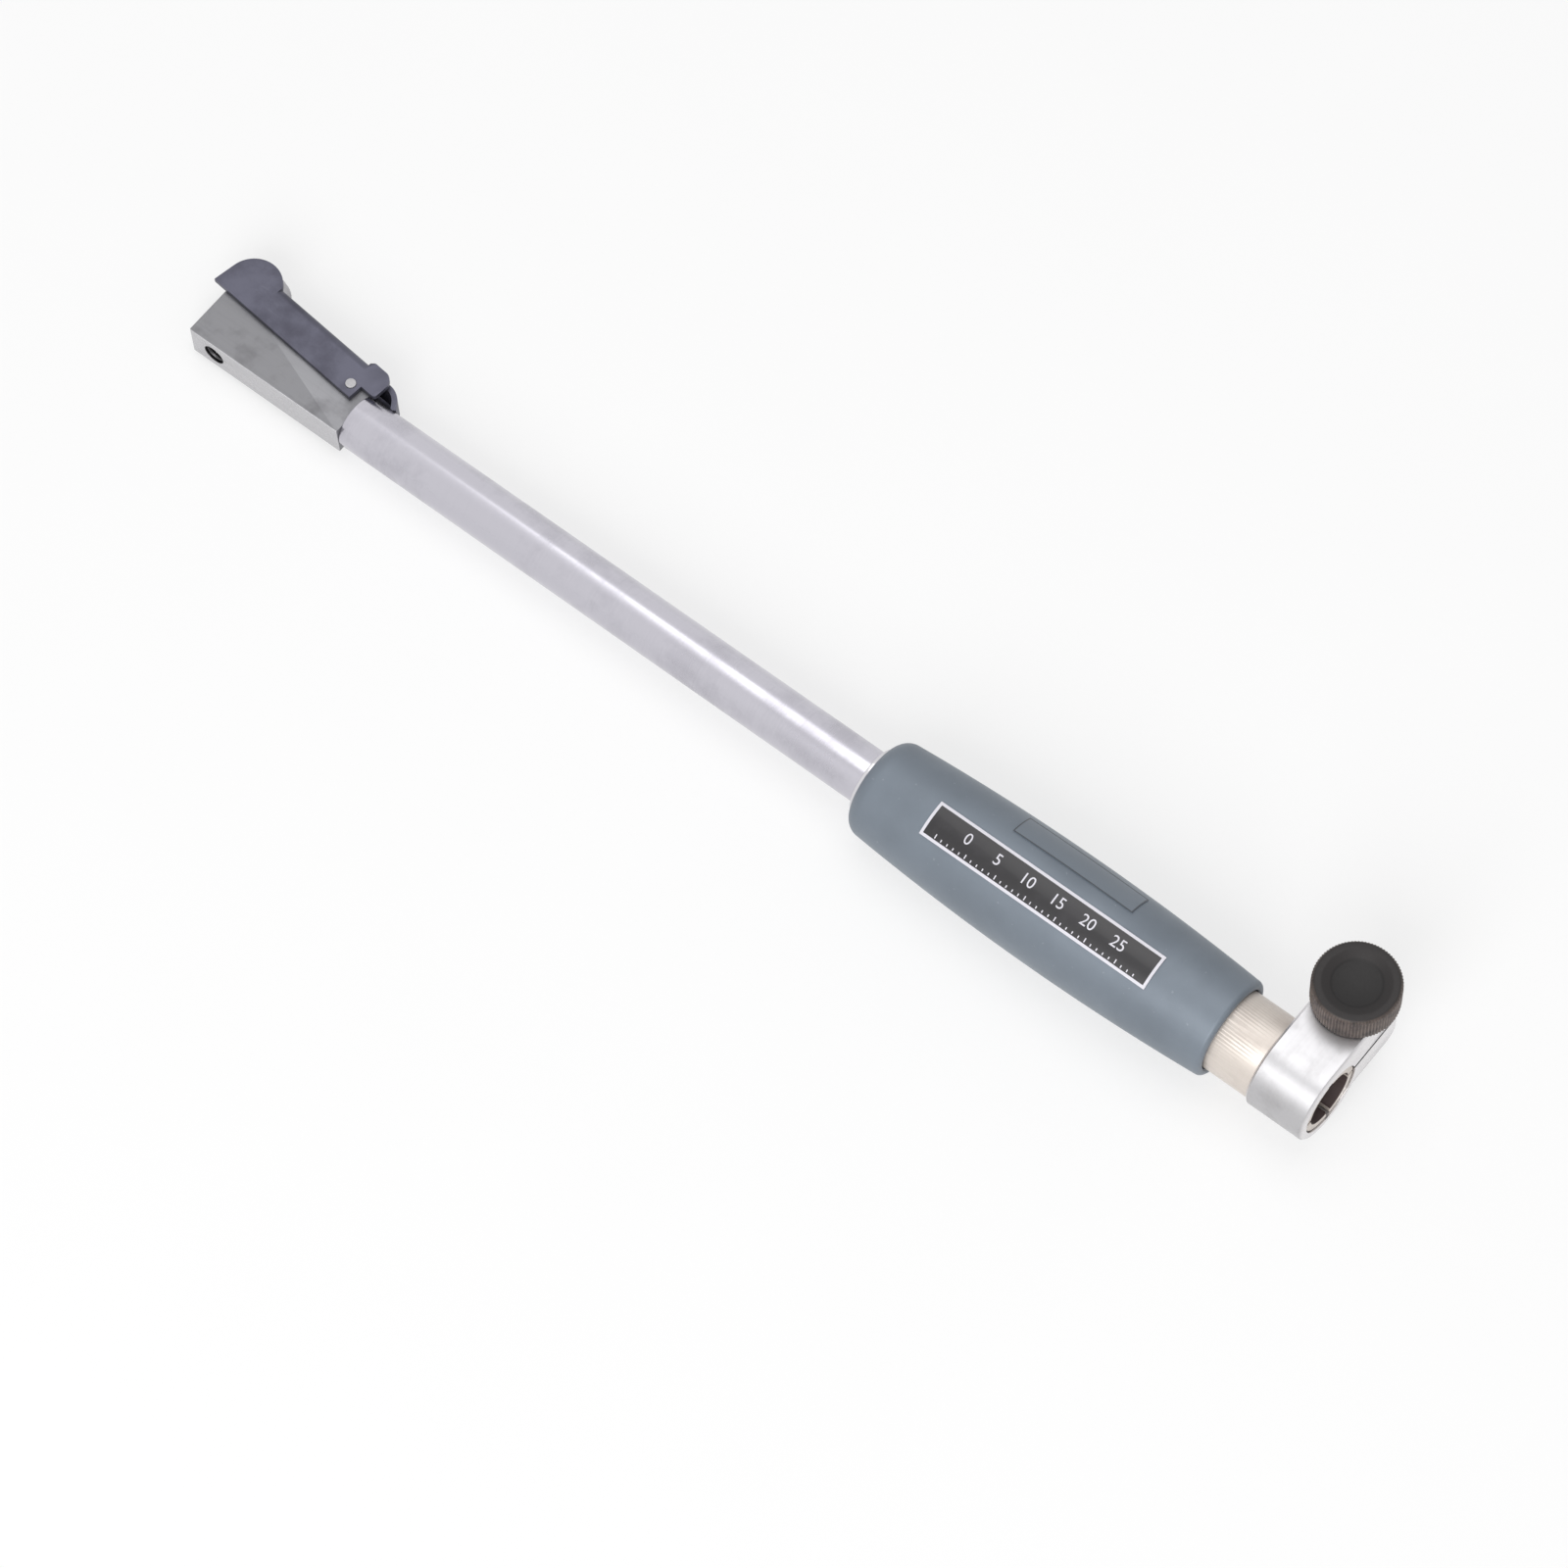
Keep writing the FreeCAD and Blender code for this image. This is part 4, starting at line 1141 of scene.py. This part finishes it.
@dataclass
class Knob:
    """Thumb knob with a fine straight knurl and a dished top."""

    x: float = -4.4 * MM
    y: float = 11.2 * MM
    low: float = 6.68 * MM
    height: float = 5.1 * MM
    crest_r: float = 6.1 * MM
    chamfer: float = 0.45 * MM
    rim: float = 0.9 * MM
    dish_r: float = 3.4 * MM
    dish_depth: float = 0.6 * MM
    bore_r: float = 1.55 * MM
    bore_top: float = 10.31 * MM
    knurls: int = 84
    knurl_depth: float = 0.17 * MM
    knurl_steps: int = 8
    fade: float = 0.2 * MM
    rounding: float = 0.16 * MM
    finish: KnobBlack = field(default_factory=KnobBlack)

    def outline(self) -> Array:
        """Closed half section from the top's middle, over the rim and the side, to the bore's end.

        Returns:
            (along, out) pairs in metres, with a straight row of points down the side.
        """
        top, rim_r = self.low + self.height, self.crest_r - self.chamfer
        corners = rounded([
            (top - self.dish_depth, self.dish_r), (top, rim_r - self.rim), (top, rim_r),
            (top - self.chamfer, self.crest_r), (self.low + self.chamfer, self.crest_r), (self.low, rim_r),
            (self.low, self.bore_r), (self.bore_top, self.bore_r)], self.rounding, 3)
        ends = np.array([(top - self.dish_depth, 0.0)]), np.array([(self.bore_top, 0.0)])
        return np.concatenate([ends[0], corners, ends[1]])

    def build(self) -> None:
        """Turn the knob and cut the knurl.

        Where the outline lies at the crest radius, the radius is lowered by the depth times
        (1 - cos(number of ridges times angle)) / 2, and the cut fades out over the chamfers.
        """
        outline = self.outline()
        steps = self.knurls * self.knurl_steps
        points = turned_points(outline, steps, Round.KNOB, (self.x, self.y))
        turn = np.linspace(0, 2 * math.pi, steps, endpoint=False)[:, None]
        share = np.clip((outline[None, :, 1] - self.crest_r + self.fade) / self.fade, 0, 1)
        cut = self.knurl_depth * share * (1 - np.cos(self.knurls * turn)) / 2
        points[..., 0] -= cut * np.cos(turn)
        points[..., 1] -= cut * np.sin(turn)
        faces = grid_faces(*points.shape[:2], True, False)
        knob = make_piece("knurled_knob", points, faces, self.finish.material(), 50.0)
        stand_in(knob, "thumb_knob", "knob")


# ---------------------------------------------------------------- measuring head
@dataclass
class MeasuringHead:
    """Head, folded guard and contact."""

    edge: float = 0.1 * MM

    def build(self) -> None:
        """Dress the pieces that show."""
        steel = HeadSteel().material()
        dress("head_body", "ground_head", "frame", steel, self.edge)
        sheet = PlatedSheet().material()
        dress("centring_guard", "folded_guard", "guard", sheet, self.edge)
        polished = WorkedMetal("contact_steel", srgb(168, 167, 170), srgb(126, 124, 128), 0.2, Lay.FINE, 0.3)
        dress("plunger", "contact_button", "contact", polished.material(), self.edge)
        lapped = WorkedMetal("tip_carbide", srgb(112, 111, 115), srgb(84, 83, 87), 0.14, Lay.FINE, 0.2)
        dress("contact_tip", "contact_plug", "contact", lapped.material())


@dataclass
class Works:
    """Pieces inside, which keep the frame's own shape."""

    def build(self, nodes: dict[str, bpy.types.Object]) -> None:
        """Give each frame node that still shows its finish.

        Args:
            nodes: the frame's objects by name.
        """
        ground = WorkedMetal("pin_steel", srgb(160, 159, 161), srgb(120, 118, 119), 0.26, Lay.UP, 0.5)
        drawn = WorkedMetal("rod_steel", srgb(172, 170, 171), srgb(130, 127, 126), 0.3, Lay.ALONG, 0.6)
        brass = WorkedMetal("bush_brass", srgb(208, 172, 104), srgb(164, 128, 70), 0.3, Lay.ROUND, 0.6)
        wire = WorkedMetal("spring_steel", srgb(138, 136, 138), srgb(92, 88, 86), 0.32, Lay.FINE, 0.5)
        dressed = {
            ground: ("crank_pin", "guard_pin", "rod_cap"), drawn: ("push_rod", "bell_crank"),
            brass: ("rod_collar", "upper_guide_bush", "lower_guide_bush"),
            wire: ("guard_spring", "rod_spring")}
        finishes: dict[str, bpy.types.Material] = {}
        for metal, names in dressed.items():
            finishes.update(dict.fromkeys(names, metal.material()))
        for node, finish in finishes.items():
            mesh = nodes[node].data
            mesh.materials.clear()
            mesh.materials.append(finish)
            LOG.info("%s keeps the frame's shape, finish %s", node, finish.name)


# ---------------------------------------------------------------- studio
def towards(azimuth: float, elevation: float) -> Vector:
    """Unit vector from the gauge: azimuth degrees from -Y round to +X, and elevation degrees up."""
    turn, rise = math.radians(azimuth), math.radians(elevation)
    return Vector((math.sin(turn) * math.cos(rise), -math.cos(turn) * math.cos(rise), math.sin(rise)))


@dataclass
class Studio:
    """Table, light and camera."""

    azimuth: float = 42.0
    elevation: float = 62.7
    roll: float = -3.7
    distance: float = 0.9
    lens: float = 152.5
    aim: tuple[float, float, float] = (-97.0 * MM, 3.0 * MM, 3.0 * MM)
    aim_right: float = 2.38 * MM
    aim_down: float = 15.28 * MM
    rest_grip: tuple[float, float] = (-42.0 * MM, -8.53 * MM)
    rest_head: tuple[float, float] = (-191.0 * MM, -3.72 * MM)
    table_reach: float = 3.0
    table_steps: int = 13
    lamp_distance: float = 1.1
    room_light: float = 0.45

    def directions(self) -> tuple[Vector, Vector, Vector]:
        """Work out the camera's own axes.

        Returns:
            The directions back, right and up.
        """
        turn, lean = math.radians(self.azimuth), math.radians(self.roll)
        back = towards(self.azimuth, self.elevation)
        right = Vector((math.cos(turn), math.sin(turn), 0.0))
        up = back.cross(right)
        level = right * math.cos(lean) + up * math.sin(lean)
        return back, level, up * math.cos(lean) - right * math.sin(lean)

    def camera(self) -> None:
        """Place the camera and aim it."""
        back, right, up = self.directions()
        data = bpy.data.cameras.new("view")
        data.sensor_width, data.lens, data.clip_start, data.clip_end = 36.0, self.lens, 0.01, 20.0
        holder = bpy.data.objects.new("view", data)
        bpy.context.scene.collection.objects.link(holder)
        stand = Vector(self.aim) + back * self.distance
        target = Vector(self.aim) + right * self.aim_right - up * self.aim_down
        holder.location = stand
        holder.rotation_mode = "QUATERNION"
        lean = Quaternion((0.0, 0.0, 1.0), math.radians(self.roll))
        holder.rotation_quaternion = (stand - target).to_track_quat("Z", "Y") @ lean
        bpy.context.scene.camera = holder

    def table(self) -> None:
        """Lay the table through the two places where the gauge rests on it: z = a + b x, level along Y."""
        slope = (self.rest_head[1] - self.rest_grip[1]) / (self.rest_head[0] - self.rest_grip[0])
        side = np.linspace(-self.table_reach, self.table_reach, self.table_steps)
        x, y = np.meshgrid(side, side, indexing="ij")
        z = self.rest_grip[1] + slope * (x - self.rest_grip[0])
        points = np.stack([x, y, z], axis=-1)
        mesh = bpy.data.meshes.new("table")
        faces = grid_faces(self.table_steps, self.table_steps, False, False)
        mesh.from_pydata(points.reshape(-1, 3).tolist(), [], faces.tolist())
        mesh.materials.append(TableTop().material())
        table = bpy.data.objects.new("table", mesh)
        bpy.context.scene.collection.objects.link(table)
        table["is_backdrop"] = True

    def lamp(self, name: str, azimuth: float, elevation: float, size: float, watts: float) -> None:
        """Hang one soft lamp that faces the gauge.

        Args:
            name: its name.
            azimuth: its side, counted as the camera's is.
            elevation: its height in degrees.
            size: its edge in metres.
            watts: its power.
        """
        back = towards(azimuth, elevation)
        data = bpy.data.lights.new(name, "AREA")
        data.shape, data.size, data.size_y, data.energy = "RECTANGLE", size, size, watts
        holder = bpy.data.objects.new(name, data)
        bpy.context.scene.collection.objects.link(holder)
        holder.location = Vector(self.aim) + back * self.lamp_distance
        holder.rotation_mode = "QUATERNION"
        holder.rotation_quaternion = back.to_track_quat("Z", "Y")

    def world(self) -> None:
        """Light the room evenly, plain white to the camera and in reflections."""
        world = bpy.data.worlds.new("room")
        world.use_nodes = True
        graph = Graph(world.node_tree)
        room = graph.node("ShaderNodeBackground", {}, {"Color": WHITE, "Strength": self.room_light})
        plain = graph.node("ShaderNodeBackground", {}, {"Color": WHITE, "Strength": 1.0})
        mixed = graph.node("ShaderNodeMixShader", {}, {0: graph.plain_rays(), 1: room, 2: plain})
        output = graph.tree.nodes.new("ShaderNodeOutputWorld")
        graph.tree.links.new(mixed.socket, output.inputs["Surface"])
        bpy.context.scene.world = world

    def build(self) -> None:
        """Set up the table, the lamps, the room and the camera."""
        self.camera()
        self.table()
        self.lamp("key", 20.0, 38.0, 0.7, 7.0)
        self.lamp("overhead", 200.0, 80.0, 0.8, 3.0)
        self.world()
        bpy.context.scene.view_settings.view_transform = "Standard"


def labels() -> list[Label]:
    """Describe the two labels of the grip.

    Returns:
        The labels, ready to build.
    """
    white = LabelFilm("print_white", srgb(222, 220, 228), srgb(196, 194, 202))
    black = LabelFilm("label_black", srgb(30, 28, 31), srgb(52, 49, 54))
    grey = LabelFilm("label_grey", srgb(112, 121, 131), srgb(128, 136, 146), 0.42)
    outline = LabelFilm("print_dark", srgb(66, 71, 78), srgb(84, 90, 98), 0.42)
    return [
        ScaleLabel(
            node="range_label", slot="label_black", length=37.5 * MM, width=5.2 * MM, middle_x=-45.8 * MM,
            turn=18.0, film=black, print_ink=white, frame_width=0.42 * MM),
        Label(
            node="plain_label", slot="label_grey", length=19.8 * MM, width=4.4 * MM, middle_x=-44.5 * MM,
            turn=-32.0, film=grey, print_ink=outline, frame_width=0.16 * MM)]


def main() -> tuple[Vector, Vector]:
    """Load the frame and build every class on it.

    Returns:
        The frame's own box, from before anything was built on it.
    """
    logging.basicConfig(level=logging.INFO, format="%(name)s: %(message)s")
    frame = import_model()
    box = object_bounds()
    Studio().build()
    for assembly in (Stem(), Grip(), *labels(), Clamp(), Knob(), MeasuringHead()):
        assembly.build()
        LOG.info("%s is built", type(assembly).__name__)
    Works().build(frame["nodes"])
    return box


if __name__ == "__main__":
    main()
